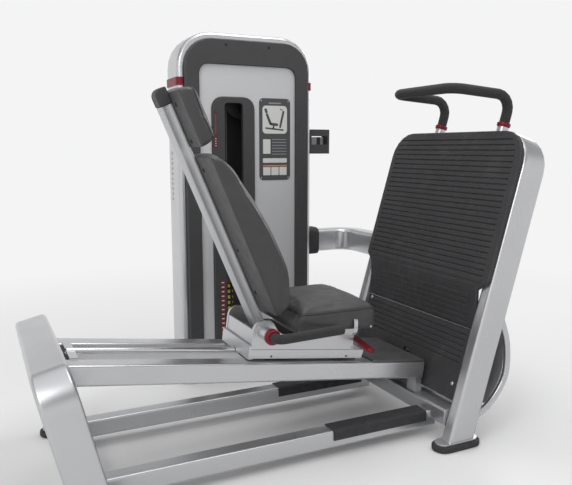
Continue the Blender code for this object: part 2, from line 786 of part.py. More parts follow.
def grab_handle(root):
    base = FOOT_HEIGHT + SOCKET_HEIGHT + GAP
    for name, side in (("handle_collar_near", -1), ("handle_collar_far", 1)):
        profile = [(HANDLE_RADIUS * 0.5, base), (SOCKET_RADIUS, base), (COLLAR_RADIUS, base + 0.005),
                   (COLLAR_RADIUS, base + COLLAR_HEIGHT - 0.003), (SOCKET_RADIUS, base + COLLAR_HEIGHT),
                   (HANDLE_RADIUS * 0.5, base + COLLAR_HEIGHT)]
        add(name, turned(profile), RED, root, FOOT @ at(0, side * HANDLE_SPREAD / 2, 0))
    y = HANDLE_SPREAD / 2
    foot = FOOT @ Vector((0, 0, base + COLLAR_HEIGHT + GAP))
    top = FOOT @ Vector((0, 0, base + HANDLE_RISE))
    front = Vector((top.x - HANDLE_REACH, 0, top.z + HANDLE_CLIMB))
    points = [foot - Vector((0, y, 0)), top - Vector((0, y, 0)), front - Vector((0, y, 0)),
              front + Vector((0, y, 0)), top + Vector((0, y, 0)), foot + Vector((0, y, 0))]
    path = rounded_path(points, HANDLE_BEND, 5)
    add("grab_handle", tube(path, circle(HANDLE_RADIUS, 12), (-1, 0, 0)), BLACK, root)


def guard_path(inset):
    """Bowed line of a guard loop, in the plane of the foot arch, drawn in from its outer bow."""
    back = FOOT_WIDTH / 2 + GAP
    bulge = GUARD_BULGE - inset
    return [(back, GUARD_LOW + 0.9 * inset), (back + bulge * 0.62, GUARD_LOW + 0.06 + 0.4 * inset),
            (back + bulge, GUARD_LOW + 0.45 * (GUARD_HIGH - GUARD_LOW)),
            (back + bulge * 0.66, GUARD_HIGH - 0.085 - 0.2 * inset), (back, GUARD_HIGH - 0.9 * inset)]


def smooth_line(points, steps):
    """Catmull-Rom curve through points."""
    ends = [points[0]] + list(points) + [points[-1]]
    curve = []
    for before, here, after, beyond in zip(ends, ends[1:], ends[2:], ends[3:]):
        for step in range(steps):
            t = step / steps
            curve.append(tuple(
                0.5 * (2 * h + (a - b) * t + (2 * b - 5 * h + 4 * a - c) * t * t + (3 * h - b - 3 * a + c) * t**3)
                for b, h, a, c in zip(before, here, after, beyond)))
    return curve + [points[-1]]


def rear_guard(root):
    """Two bowed tubes behind the arch's legs, tied by a cross tube, and the bent sheet between them."""
    behind = block((-1, FOOT_WIDTH / 2 + GAP), (-1, 1), (-1, 2))
    tie = moved(rod(GUARD_RADIUS * 0.8, -GUARD_SPREAD / 2, GUARD_SPREAD / 2, 10), Matrix.Rotation(math.pi / 2, 4, "X"))
    whole = moved(tie, at(FOOT_WIDTH / 2 + 0.022, 0, GUARD_LOW + 0.020))
    for side in (-1, 1):
        y = side * GUARD_SPREAD / 2
        line = [Vector((x, y, z)) for x, z in smooth_line(guard_path(0), 4)]
        whole = joined(whole, tube(line, circle(GUARD_RADIUS, 8), (0, 1, 0)))
    add("rear_guard", cut(whole, behind), SILVER, root, FOOT.copy())
    outer = smooth_line(guard_path(0.004), 4)
    inner = smooth_line(guard_path(0.004 + COVER_THICKNESS), 4)
    half = GUARD_SPREAD / 2 - GUARD_RADIUS - GAP
    sheet = [(x, z, 0) for x, z in outer] + [(x, z, 0) for x, z in inner[::-1]]
    cover = moved(plate(sheet, -half, half), FACING_Y)
    below = block((-1, 1), (-1, 1), (-1, GUARD_LOW + 0.048))
    behind = block((-1, FOOT_WIDTH / 2 + GAP), (-1, 1), (-1, 2))
    add("rear_pulley_cover", cut(cover, behind, below), STEEL, root, FOOT.copy())


def sheave(radius, axle_low, axle_high):
    """Grooved pulley with its axle along Z: radius is that of the cable's centre line."""
    half = SHEAVE_WIDTH / 2
    floor = radius - CABLE_RADIUS - CABLE_GAP
    rim = radius + SHEAVE_FLANGE
    groove = CABLE_RADIUS + CABLE_GAP
    return turned([
        (0, axle_low), (AXLE_RADIUS, axle_low), (AXLE_RADIUS, -half), (rim, -half), (floor, -groove),
        (floor, groove), (rim, half), (AXLE_RADIUS, half), (AXLE_RADIUS, axle_high), (0, axle_high),
    ], 20)


def fork(length):
    """Two cheeks beside a pulley, joined by a web at length along X from the axle, which lies on Z."""
    inner = SHEAVE_WIDTH / 2 + GAP
    outer = inner + FORK_WALL
    half = AXLE_RADIUS + 0.009
    cheek = [(-half, -half, half - 0.0005), (length, -half, 0), (length, half, 0), (-half, half, half - 0.0005)]
    low = plate(cheek, -outer, -inner, 0, 4)
    high = plate(cheek, inner, outer, 0, 4)
    web = block((length - FORK_WALL, length), (-half, half), (-outer, outer))
    whole = joined(low, web, high)
    return cut(whole, rod(AXLE_RADIUS + GAP, -1, 1))


def rail_sheave_centre():
    """Axle of the pulley at the foot of the rails: on the cable's line from the carriage and from the arch."""
    lift = SHEAVE - CABLE_DROP
    start = RAIL.inverted() @ (FOOT @ Vector((CABLE_BACK - SHEAVE, 0, 0)))
    rise = RAIL.inverted().to_3x3() @ (FOOT.to_3x3() @ Vector((0, 0, 1)))
    return FOOT @ Vector((CABLE_BACK - SHEAVE, 0, (lift - start.z) / rise.z))


def rail_fork():
    """Fork on the arch's lower cross bar that carries the pulley at the foot of the rails."""
    centre = rail_sheave_centre()
    length = (FOOT.inverted() @ centre).z - LOW_BAR_UP - CROSS_BAR / 2 + 0.002
    down = FOOT.to_3x3() @ Vector((0, 0, -1))
    across = Vector((0, 1, 0))
    turn = Matrix((down, across.cross(down), across)).transposed().to_4x4()
    return moved(fork(length), Matrix.Translation(centre) @ turn)


def pulley_centres():
    """Axle of each pulley along the cable's way from the rails to the head plate."""
    high = cable_height_on_arch()
    run = FOOT @ Vector((CABLE_BACK, 0, high))
    rise_x = BEZEL_X + 2 * TOP_SHEAVE
    return {
        "rail": rail_sheave_centre(),
        "arch": FOOT @ Vector((CABLE_BACK, SHEAVE, high - SHEAVE)),
        "link": Vector((run.x - LINK_SHEAVE, STACK_Y - LINK_SHEAVE, LINK_Z)),
        "tower": Vector((rise_x + TOWER_SHEAVE, STACK_Y, LINK_Z + TOWER_SHEAVE)),
        "top": Vector((BEZEL_X + TOP_SHEAVE, STACK_Y, TOP_BAR_Z - 0.008 - TOP_SHEAVE - SHEAVE_FLANGE)),
    }


def pulleys(root):
    half = SHEAVE_WIDTH / 2 + GAP + FORK_WALL
    across = Matrix.Rotation(-math.pi / 2, 4, "X")
    lying = FOOT.to_3x3().to_4x4() @ Matrix.Rotation(-math.pi / 2, 4, "Y")
    link_half = LINK_HEIGHT / 2 - LINK_WALL - GAP
    made = {
        "rail": (sheave(SHEAVE, -half, half), across),
        "arch": (sheave(SHEAVE, -SHEAVE_WIDTH / 2 - 0.004, SHEAVE_WIDTH + 0.014 - GAP), lying),
        "link": (sheave(LINK_SHEAVE, -link_half, link_half), Matrix()),
        "tower": (sheave(TOWER_SHEAVE, -half, half), across),
        "top": (sheave(TOP_SHEAVE, -half, half), across),
    }
    for key, centre in pulley_centres().items():
        shape, turn = made[key]
        hinge = empty(key + "_pulley_axis", Matrix.Translation(centre), root)
        add(key + "_pulley", shape, BLACK, hinge, Matrix.Translation(centre) @ turn)


def wrap(centre, start, end, radius, steps=6):
    """Arc of cable round a pulley, from one outward direction to the other."""
    start, end = Vector(start).normalized(), Vector(end).normalized()
    axis = start.cross(end)
    sweep = start.angle(end)
    return [centre + Matrix.Rotation(sweep * step / steps, 3, axis) @ start * radius for step in range(steps + 1)]


def cables(root, trolley, lift):
    centres = pulley_centres()
    lean_up = FOOT.to_3x3() @ Vector((0, 0, 1))
    lean_out = FOOT.to_3x3() @ Vector((1, 0, 0))
    rail_down = RAIL.to_3x3() @ Vector((0, 0, -1))
    lead = RAIL.to_3x3() @ Vector((-CABLE_LEAD, 0, 0))
    path = wrap(centres["rail"], rail_down, lean_out, SHEAVE)
    path.insert(0, path[0] + lead)
    path += wrap(centres["arch"], (0, -1, 0), lean_up, SHEAVE)
    path += wrap(centres["link"], (1, 0, 0), (0, 1, 0), LINK_SHEAVE)
    path += wrap(centres["tower"], (0, 0, -1), (-1, 0, 0), TOWER_SHEAVE)
    path += wrap(centres["top"], (1, 0, 0), (0, 0, 1), TOP_SHEAVE)[:-1]
    path += wrap(centres["top"], (0, 0, 1), (-1, 0, 0), TOP_SHEAVE)
    path.append(path[-1] - Vector((0, 0, CABLE_LEAD)))
    ring = circle(CABLE_RADIUS, CABLE_SIDES)
    add("main_cable", tube(path, ring, (0, 1, 0)), STEEL, root)
    start = path[0] + (RAIL.to_3x3() @ Vector((-GAP, 0, 0)))
    anchor = RAIL @ Vector((TROLLEY_X + TROLLEY_LENGTH / 2 + GAP, 0, -CABLE_DROP))
    add("press_cable", tube([start, anchor], ring, (0, 1, 0)), STEEL, trolley)
    top = path[-1] - Vector((0, 0, GAP))
    low = Vector((top.x, top.y, head_top() + EYE_HEIGHT + GAP))
    add("lift_cable", tube([top, low], ring, (0, 1, 0)), STEEL, lift)


def link_tube(root):
    run_x = (FOOT @ Vector((CABLE_BACK, 0, cable_height_on_arch()))).x
    side = TOWER_X + TOWER_WIDTH / 2 + GAP
    points = [(run_x, ARCH_SPREAD / 2 + GAP, LINK_Z), (run_x, STACK_Y, LINK_Z), (side, STACK_Y, LINK_Z)]
    path = rounded_path(points, LINK_BEND, 6)
    outer = outline(rectangle(LINK_WIDTH, LINK_HEIGHT, LINK_CORNER), 0, 2)
    inner = outline(rectangle(LINK_WIDTH, LINK_HEIGHT, LINK_CORNER), LINK_WALL, 2)
    add("link_tube", hollow_tube(path, outer, inner), SILVER, root)
    edge = rectangle(LINK_WIDTH, LINK_HEIGHT, LINK_CORNER)
    sleeve = [outline(edge, -GAP, 2), outline(edge, -BOOT_WALL, 2)]
    ends = (side, side + BOOT_LENGTH)
    loops = [[(end, STACK_Y + a, LINK_Z + b) for a, b in sleeve[0]] for end in ends]
    loops += [[(end, STACK_Y + a, LINK_Z + b) for a, b in sleeve[1]] for end in ends[::-1]]
    add("link_boot", skin(loops, ring=True), RUBBER, root)


def tower_frame(root):
    """Bent frame of the tower, with its foot beam and the arm of the lower pulley."""
    inner = TOWER_WIDTH / 2 - TOWER_WALL
    low = TOWER_FOOT + GAP
    frame = plate(arch(TOWER_WIDTH, TOWER_HEIGHT, TOWER_WALL, TOWER_BEND, low),
                  -TOWER_FRONT - TOWER_DEPTH, -TOWER_FRONT, TOWER_EDGE, 6)
    frame.transform(at(TOWER_X, 0, 0) @ Matrix.Scale(-1, 4, (0, 1, 0)) @ FACING_Y @ Matrix.Scale(-1, 4, (0, 0, 1)))
    foot = block((TOWER_X - inner - 0.004, TOWER_X + inner + 0.004),
                 (TOWER_FRONT, rear_cover_face() - REAR_COVER_THICKNESS - GAP), (low, low + BASE_HEIGHT))
    frame = joined(frame, foot)
    centre = pulley_centres()["tower"]
    arm = fork(TOWER_X + inner + 0.004 - centre.x)
    frame = joined(frame, moved(arm, Matrix.Translation(centre) @ Matrix.Rotation(math.pi / 2, 4, "X")))
    hole = moved(rod(CABLE_HOLE, -0.1, 0.1), Matrix.Rotation(math.pi / 2, 4, "Y"))
    frame = cut(frame, moved(hole, at(TOWER_X + inner + TOWER_WALL / 2, STACK_Y, LINK_Z)))
    add("tower_frame", frame, SILVER, root)
    plinth = rectangle(TOWER_WIDTH + 0.016, TOWER_DEPTH - 0.004, 0.020, TOWER_X, TOWER_FRONT + TOWER_DEPTH / 2)
    add("tower_plinth", plate(plinth, 0, TOWER_FOOT, 0.004, 3, 1), RUBBER, root)


def trim_rings(root):
    """Red clips round the outer side of each upright."""
    middle = TOWER_FRONT + TOWER_DEPTH / 2
    inside = SHROUD_WIDTH / 2 + 0.001
    for name, side in (("trim_ring_left", -1), ("trim_ring_right", 1)):
        x = side * (TOWER_WIDTH - TOWER_WALL) / 2
        band = plate(rectangle(TOWER_WALL + 2 * TRIM_PROUD, TOWER_DEPTH + 2 * TRIM_PROUD, TOWER_EDGE + TRIM_PROUD,
                               x, middle), TRIM_LOW, TRIM_LOW + TRIM_HEIGHT, 0, 4)
        core = plate(rectangle(TOWER_WALL + 2 * GAP, TOWER_DEPTH + 2 * GAP, TOWER_EDGE + GAP, x, middle), 0, 2, 0, 4)
        inner = block((-inside, inside), (middle - 1, middle + 1), (0, 2))
        add(name, cut(band, core, inner), RED, root, at(TOWER_X, 0, 0))


def rear_cover_face():
    """Depth of the rear cover's outer face, just inside the back of the frame."""
    return TOWER_FRONT + TOWER_DEPTH - 0.006


def facing_front(shape, y):
    """Turns a plate drawn in (x, z) and extruded from 0 so that it reaches from y towards the front."""
    return moved(shape, at(0, y, 0) @ FACING_Y)


def tower_front(root):
    back = TOWER_FRONT - GAP
    low = TOWER_FOOT + 0.030
    half = SHROUD_WIDTH / 2
    band = [(TOWER_X - half, low, 0.010), (TOWER_X + half, low, 0.010), (TOWER_X + half, SHROUD_TOP, SHROUD_BEND),
            (TOWER_X - half, SHROUD_TOP, SHROUD_BEND)]
    shroud = facing_front(plate(band, 0, SHROUD_THICKNESS, 0.007, 6), back)
    middle = (PANEL_TOP + PANEL_LOW) / 2
    opening = rectangle(PANEL_WIDTH, PANEL_TOP - PANEL_LOW, PANEL_CORNER, TOWER_X, middle)
    window = facing_front(plate(opening, -0.05, 0.05, 0, 6), back)
    add("front_shroud", cut(shroud, window), DARK_PLASTIC, root)
    sheet = rectangle(PANEL_WIDTH - 2 * GAP, PANEL_TOP - PANEL_LOW - 2 * GAP, PANEL_CORNER - GAP, TOWER_X, middle)
    panel = facing_front(plate(sheet, 0, PANEL_THICKNESS, 0, 6), back - 0.002)
    bezel_middle = (BEZEL_TOP + BEZEL_LOW) / 2
    bezel = rectangle(BEZEL_WIDTH, BEZEL_TOP - BEZEL_LOW, BEZEL_CORNER, BEZEL_X, bezel_middle)
    bezel_hole = rectangle(BEZEL_WIDTH + 2 * GAP, BEZEL_TOP - BEZEL_LOW + 2 * GAP, BEZEL_CORNER + GAP,
                           BEZEL_X, bezel_middle)
    panel = cut(panel, facing_front(plate(bezel_hole, -0.05, 0.05, 0, 5), back))
    add("front_panel", panel, PANEL_GREY, root)
    slot = rectangle(SLOT_WIDTH, SLOT_TOP - BEZEL_LOW - 0.02, SLOT_CORNER, BEZEL_X,
                     (SLOT_TOP + BEZEL_LOW + 0.02) / 2)
    frame = facing_front(plate(bezel, 0, 0.020, 0.005, 5, 1), back - 0.001)
    frame = cut(frame, facing_front(plate(slot, -0.05, 0.05, 0, 4), back))
    add("slot_bezel", frame, DARK_PLASTIC, root)
    inner = TOWER_WIDTH / 2 - TOWER_WALL - GAP
    tall = rectangle(2 * inner, TOWER_HEIGHT - TOWER_WALL - TOWER_FOOT - 0.012, TOWER_BEND - TOWER_WALL - 0.001,
                     TOWER_X, (TOWER_HEIGHT - TOWER_WALL + TOWER_FOOT + 0.010) / 2)
    tall = [(*corner[:2], 0.004 if index < 2 else corner[2]) for index, corner in enumerate(tall)]
    add("rear_cover", facing_front(plate(tall, 0, REAR_COVER_THICKNESS, 0, 6), rear_cover_face()), DARK_PLASTIC, root)


def accessory_holder(root):
    """Open tray with windowed walls on the outer side of the right upright."""
    x = TOWER_X + TOWER_WIDTH / 2 + GAP
    y = TOWER_FRONT + 0.020
    low, high = HOLDER_Z - HOLDER_SIZE / 2, HOLDER_Z + HOLDER_SIZE / 2
    body = block((x, x + HOLDER_SIZE), (y, y + HOLDER_DEPTH), (low, high), 0.010)
    pocket = block((x + 0.006, x + HOLDER_SIZE - 0.005), (y + 0.004, y + HOLDER_DEPTH - 0.004),
                   (low + 0.006, high + 0.05), 0.006)
    window = block((x + 0.014, x + HOLDER_SIZE - 0.014), (y - 0.02, y + HOLDER_DEPTH + 0.02),
                   (HOLDER_Z - 0.014, HOLDER_Z + 0.026))
    add("accessory_holder", cut(body, pocket, window), BLACK, root)


def head_top():
    """Top of the head plate above the full stack."""
    return STACK_LOW + PLATE_COUNT * WEIGHT_PITCH + HEAD_HEIGHT


def stack_rod_places():
    """Axes of the two guide rods, behind the plane of the cable."""
    return [at(BEZEL_X + side * STACK_ROD_SPREAD / 2, STACK_Y + STACK_ROD_BACK, 0) for side in (-1, 1)]


def stack_bores():
    """Tools that bore a plate for the guide rods."""
    return [moved(rod(STACK_ROD_RADIUS + BORE_PLAY, -1, 1, 10), place) for place in stack_rod_places()]


def weight_stack(root, lift, pin):
    """Weight plates at rest in one stack, the head plate with its selector rod, and the pin through both."""
    slab = WEIGHT_PITCH - WEIGHT_GAP
    block_out = outline(rectangle(WEIGHT_WIDTH, WEIGHT_DEPTH, 0, BEZEL_X, STACK_Y))
    waist = outline(rectangle(WEIGHT_WIDTH, WEIGHT_DEPTH, 0, BEZEL_X, STACK_Y), WEIGHT_GROOVE)
    loops = []
    for step in range(PLATE_COUNT):
        low = STACK_LOW + WEIGHT_PITCH * step
        loops += [[(*p, low) for p in block_out], [(*p, low + slab) for p in block_out]]
        if step < PLATE_COUNT - 1:
            loops += [[(*p, low + slab) for p in waist], [(*p, low + WEIGHT_PITCH) for p in waist]]
    middle = moved(rod(SELECTOR_RADIUS + BORE_PLAY, -1, 1, 10), at(BEZEL_X, STACK_Y, 0))
    add("weight_stack", cut(skin(loops), *stack_bores(), middle), CAST, root)
    top = head_top()
    head = block((BEZEL_X - WEIGHT_WIDTH / 2, BEZEL_X + WEIGHT_WIDTH / 2),
                 (STACK_Y - WEIGHT_DEPTH / 2, STACK_Y + WEIGHT_DEPTH / 2), (top - HEAD_HEIGHT, top))
    stem = moved(rod(SELECTOR_RADIUS, STACK_LOW + 0.02, top - 0.004, 12), at(BEZEL_X, STACK_Y, 0))
    eye = moved(rod(SELECTOR_RADIUS * 0.8, top - 0.002, top + EYE_HEIGHT, 12), at(BEZEL_X, STACK_Y, 0))
    hole = moved(rod(PIN_RADIUS + GAP, -0.2, 0, 12), Matrix.Rotation(-math.pi / 2, 4, "X"))
    hole.transform(at(BEZEL_X, STACK_Y + SELECTOR_RADIUS + 0.01, pin_height()))
    add("head_plate", cut(joined(cut(head, *stack_bores()), stem, eye), hole), STEEL, lift)
    depth = WEIGHT_DEPTH / 2 + SELECTOR_RADIUS + 0.004
    profile = [(0, -depth), (PIN_RADIUS, -depth), (PIN_RADIUS, 0.006), (PIN_KNOB * 0.6, 0.008), (PIN_KNOB, 0.014),
               (PIN_KNOB, 0.026), (PIN_KNOB * 0.7, 0.032), (0, 0.032)]
    frame = at(BEZEL_X, STACK_Y - WEIGHT_DEPTH / 2, pin_height()) @ Matrix.Rotation(math.pi / 2, 4, "X")
    add("selector_pin", turned(profile, 12), RED, pin, frame)
    base_top = TOWER_FOOT + BASE_HEIGHT + 2 * GAP
    for name, place in zip(("stack_rod_left", "stack_rod_right"), stack_rod_places()):
        add(name, rod(STACK_ROD_RADIUS, base_top, TOP_BAR_Z - GAP), CHROME, root, place)


def pin_height():
    """Level of the selector pin, in the middle of the head plate."""
    return head_top() - HEAD_HEIGHT / 2


def top_crossmember(root):
    """Bar across the tower's top, with the cheeks that carry the top pulley."""
    inner = TOWER_WIDTH / 2 - TOWER_WALL - GAP
    bar = block((TOWER_X - inner, TOWER_X + inner), (TOWER_FRONT, STACK_Y + STACK_ROD_BACK + STACK_ROD_RADIUS + 0.004),
                (TOP_BAR_Z, TOP_BAR_Z + TOP_BAR_HEIGHT))
    centre = pulley_centres()["top"]
    wide = AXLE_RADIUS + 0.012
    near = SHEAVE_WIDTH / 2 + GAP
    for side in (-1, 1):
        faces = sorted((STACK_Y + side * near, STACK_Y + side * (near + FORK_WALL)))
        cheek = block((centre.x - wide, centre.x + wide), faces, (centre.z - wide, TOP_BAR_Z + 0.004))
        bar = joined(bar, cheek)
    hole = moved(rod(AXLE_RADIUS + GAP, -0.05, 0.05), Matrix.Rotation(math.pi / 2, 4, "X"))
    add("top_crossmember", cut(bar, moved(hole, Matrix.Translation(centre))), STEEL, root)


def carriage(trolley, seat):
    half = CARRIAGE_WIDTH / 2
    low, high = CARRIAGE_LIFT, CARRIAGE_LIFT + CARRIAGE_HEIGHT
    rear, front = CARRIAGE_REAR, CARRIAGE_FRONT
    ceiling = high - TOP_PLATE
    parts = [block((rear, front), (-half, half), (ceiling, high))]
    side_wall = [(rear, low, 0), (front - 0.005, low, 0), (front, high - 0.004, 0), (rear, high - 0.004, 0)]
    inner = INNER_WALL_SPREAD / 2 - INNER_WALL / 2
    for faces in ((half - CARRIAGE_WALL, half), (inner, inner + INNER_WALL)):
        for side in (-1, 1):
            spread = sorted((side * faces[0], side * faces[1]))
            parts.append(moved(plate(side_wall, *spread), FACING_Y))
    front_wall = front - 0.014 - CARRIAGE_WALL
    for x in (rear, front_wall):
        parts.append(block((x, x + CARRIAGE_WALL), (-half + 0.002, half - 0.002), (low, high - 0.004)))
    bracket = HUB_X - HUB_RADIUS - GAP
    sill = low - 0.003
    parts.append(block((bracket - REAR_PLATE, bracket), (-half, half), (sill, sill + REAR_PLATE_HEIGHT)))
    parts.append(block((bracket - 0.001, rear + 0.001), (-half, half), (sill, high)))
    base = bored(joined(*parts), GUIDE_ROD_RADIUS + 0.003)
    for x in roller_places():
        hole = moved(rod(ROLLER_AXLE + GAP, -1, 1, 12), Matrix.Rotation(math.pi / 2, 4, "X"))
        base = cut(base, moved(hole, at(x, 0, ROLLER_RADIUS + GAP)))
    add("carriage_base", base, SILVER, seat, RAIL.copy())
    places = (("rear_bush", rear + CARRIAGE_WALL + GAP), ("front_bush", front_wall - GAP - BUSH_LENGTH))
    for name, x in places:
        bush = block((x, x + BUSH_LENGTH), (-BUSH_WIDTH / 2, BUSH_WIDTH / 2), (-GUIDE_ROD_RADIUS * 2, ceiling - GAP))
        add(name, bored(bush, GUIDE_ROD_RADIUS + GAP), BLACK, seat, RAIL.copy())
    slider = block((TROLLEY_X - TROLLEY_LENGTH / 2, TROLLEY_X + TROLLEY_LENGTH / 2), (-0.030, 0.030),
                   (-CABLE_DROP - 0.012, ceiling - 0.003), 0.004)
    add("drive_trolley", bored(slider, GUIDE_ROD_RADIUS + GAP), STEEL, trolley, RAIL.copy())


def roller_places():
    return CARRIAGE_REAR + ROLLER_INSET, CARRIAGE_FRONT - ROLLER_INSET


def rollers(seat):
    """Pairs of wheels that run on the beams, each pair on one axle through the carriage's walls."""
    outer = CARRIAGE_WIDTH / 2 - 0.001
    inner = INNER_WALL_SPREAD / 2 + INNER_WALL / 2
    tread = (inner + CARRIAGE_WIDTH / 2 - CARRIAGE_WALL) / 2
    wide = ROLLER_WIDTH / 2
    wheel = [(ROLLER_AXLE, tread - wide), (ROLLER_RADIUS, tread - wide), (ROLLER_RADIUS, tread + wide),
             (ROLLER_AXLE, tread + wide)]
    profile = [(0, -outer), (ROLLER_AXLE, -outer)] + [(radius, -y) for radius, y in wheel[::-1]]
    profile += wheel + [(ROLLER_AXLE, outer), (0, outer)]
    for name, x in zip(("rear_rollers", "front_rollers"), roller_places()):
        frame = RAIL @ at(x, 0, ROLLER_RADIUS + GAP) @ Matrix.Rotation(math.pi / 2, 4, "X")
        axis = empty(name + "_axis", Matrix.Translation(frame.translation), seat)
        add(name, turned(profile, 14), BLACK, axis, frame)


def bracket_foot():
    """Height above the rails at which things stand on the carriage."""
    return CARRIAGE_LIFT + CARRIAGE_HEIGHT + GAP


def mirrored(shape):
    """Mirror image of a near-side shape, for the far side."""
    shape.transform(Matrix.Scale(-1, 4, (0, 1, 0)))
    bmesh.ops.reverse_faces(shape, faces=shape.faces)
    return shape


def side_bracket():
    """Upright plate along the near side of the carriage, with the hump that holds the handle."""
    foot = bracket_foot()
    top = foot + SIDE_RAIL_HEIGHT
    out = CARRIAGE_WIDTH / 2 - 0.002
    shape = [
        (HUB_X - HUB_RADIUS, foot, 0), (SIDE_RAIL_END, foot, 0), (SIDE_RAIL_END, top, 0),
        (HUB_X + 0.064, top, 0.050), (HUB_X + 0.030, HUB_Z + HUB_RADIUS, 0.028),
        (HUB_X - HUB_RADIUS, HUB_Z + HUB_RADIUS, 0.034),
    ]
    return moved(plate(shape, out - BRACKET_WALL, out, 0, 6), FACING_Y)


def seat_tray():
    """Pan under the cushion, on the side brackets, with the flange that carries the lever."""
    out = CARRIAGE_WIDTH / 2 - 0.003
    foot = bracket_foot() + SIDE_RAIL_HEIGHT - 0.002
    base = RAIL.inverted() @ seat_plane()
    start = base @ Vector((0, 0, -GAP))
    along = base.to_3x3() @ Vector((1, 0, 0))
    flange = SIDE_RAIL_END - 0.001
    front = flange + FLANGE_THICKNESS
    rear = start.x - 0.115

    def under(x):
        return start.z + along.z / along.x * (x - start.x)

    pan = [(rear, foot, 0), (flange, foot, 0), (flange, FLANGE_LOW, 0), (front, FLANGE_LOW, 0),
           (front, under(front), 0), (rear, under(rear), 0)]
    tray = moved(plate(pan, -out, out), FACING_Y)
    hole = moved(rod(LEVER_SHAFT + GAP, -0.1, 0.1, 12), Matrix.Rotation(math.pi / 2, 4, "Y"))
    return cut(tray, moved(hole, at(front, LEVER_Y, LEVER_Z)))


def back_anchor():
    """Rear wall between the side brackets, with the cheeks that hold the foot of the back tube."""
    foot = bracket_foot()
    inner = CARRIAGE_WIDTH / 2 - BRACKET_WALL
    rear = HUB_X - HUB_RADIUS + 0.002
    whole = block((rear, rear + ANCHOR_WALL), (-inner, inner), (foot, foot + ANCHOR_HEIGHT))
    cheek = BACK_TUBE_WIDTH / 2 + GAP
    for side in (-1, 1):
        faces = sorted((side * cheek, side * (cheek + ANCHOR_WALL)))
        rib = block((rear + ANCHOR_WALL / 2, rear + ANCHOR_REACH), faces, (foot, foot + ANCHOR_HEIGHT - 0.012))
        whole = joined(whole, rib)
    return whole


def seat_frame(seat):
    """Welded frame on the carriage: side brackets, seat tray, anchor of the back tube and handle stub."""
    out = CARRIAGE_WIDTH / 2 - 0.002
    hub = at(HUB_X, 0, HUB_Z) @ Matrix.Rotation(math.pi / 2, 4, "X")
    stub = moved(rod(RING_RADIUS - 0.004, out - 0.004, out + STUB_LENGTH), hub)
    boss = moved(rod(BOSS_RADIUS, -out - BOSS_LENGTH, 0.004 - out), hub)
    whole = joined(side_bracket(), back_anchor(), mirrored(side_bracket()), seat_tray(), stub, boss)
    add("seat_frame", whole, SILVER, seat, RAIL.copy())


def side_handle(seat):
    """Grip on the near side of the seat, and the red ring at its root."""
    root_y = -CARRIAGE_WIDTH / 2 + 0.002 - STUB_LENGTH - GAP
    profile = [(0, 0), (RING_RADIUS - 0.004, 0), (RING_RADIUS, 0.004), (RING_RADIUS, RING_LENGTH - 0.006),
               (RING_RADIUS - 0.005, RING_LENGTH), (0, RING_LENGTH)]
    frame = RAIL @ at(HUB_X, root_y, HUB_Z) @ Matrix.Rotation(math.pi / 2, 4, "X")
    add("handle_ring", turned(profile), RED, seat, frame)
    tip = Vector((HUB_X, root_y - RING_LENGTH - GAP, HUB_Z))
    turn = tip + Vector((0, -GRIP_BEND, 0))
    end = turn + Vector((GRIP_LENGTH, GRIP_SPLAY, GRIP_RISE))
    grip = tube(rounded_path([tip, turn, end], GRIP_BEND * 0.9, 5), circle(GRIP_RADIUS, 12), (0, 0, 1))
    add("handle_grip", grip, BLACK, seat, RAIL.copy())


def pad_section(width, depth, edge, crown, channels):
    """Outline of a cushion across its width: flat back, sides drawn in, round shoulders, crowned front."""
    half = width / 2
    rounding = min(1.7 * edge, 0.45 * depth)
    shoulder = depth - crown - rounding
    side = [(half - edge, 0.0), (half - 0.2 * edge, 0.10 * depth), (half - 0.35 * edge, 0.32 * depth)]
    for step in range(5):
        angle = math.pi / 8 * step
        side.append((half - rounding * (1 - math.cos(angle)), shoulder + rounding * math.sin(angle)))
    flat = half - rounding
    steps = 10
    front = []
    for step in range(1, steps):
        y = flat * (1 - 2 * step / steps)
        rise = crown * (1 - abs(y / flat) ** 2.2)
        for line in channels:
            rise -= 0.35 * crown * math.exp(-((abs(y) - line) / (0.04 * width)) ** 2)
        front.append((y, depth - crown + rise))
    return side + front + [(-y, x) for y, x in side[::-1]]


def cushion(stations, edge, crown, channels=()):
    """Cushion lofted along its length through (place, width, depth) stations."""
    loops = []
    for place, width, depth in stations:
        loops.append([(x, y, place) for y, x in pad_section(width, depth, edge, crown, channels)])
    return skin(loops)


def rounded_ends(low, high, width, depth, edge, count):
    """Stations between low and high whose first and last few shrink to round the ends."""
    turns = [math.pi / 6 * step for step in range(4)]
    ends = [(edge * (1 - math.cos(angle)), math.sin(angle)) for angle in turns]
    stations = []
    for along, full in ends:
        place = low + along
        stations.append((place, width - edge * 1.5 * (1 - full), depth(place) * (0.5 + 0.5 * full)))
    for step in range(1, count):
        place = low + edge + (high - low - 2 * edge) * step / count
        stations.append((place, width, depth(place)))
    for along, full in ends[::-1]:
        place = high - along
        stations.append((place, width - edge * 1.5 * (1 - full), depth(place) * (0.5 + 0.5 * full)))
    return stations


def back_depth(place):
    """Thickness of the back pad up its length: full at the small of the back, thin at the top."""
    share = (place - BACK_PAD_LOW) / (BACK_PAD_HIGH - BACK_PAD_LOW)
    fullest = 0.34
    if share < fullest:
        swell = BACK_PAD_LUMBAR_DEPTH - BACK_PAD_FOOT_DEPTH
        return BACK_PAD_FOOT_DEPTH + swell * math.sin(share / fullest * math.pi / 2)
    fade = (share - fullest) / (1 - fullest)
    return BACK_PAD_TOP_DEPTH + (BACK_PAD_LUMBAR_DEPTH - BACK_PAD_TOP_DEPTH) * (1 - fade**2)


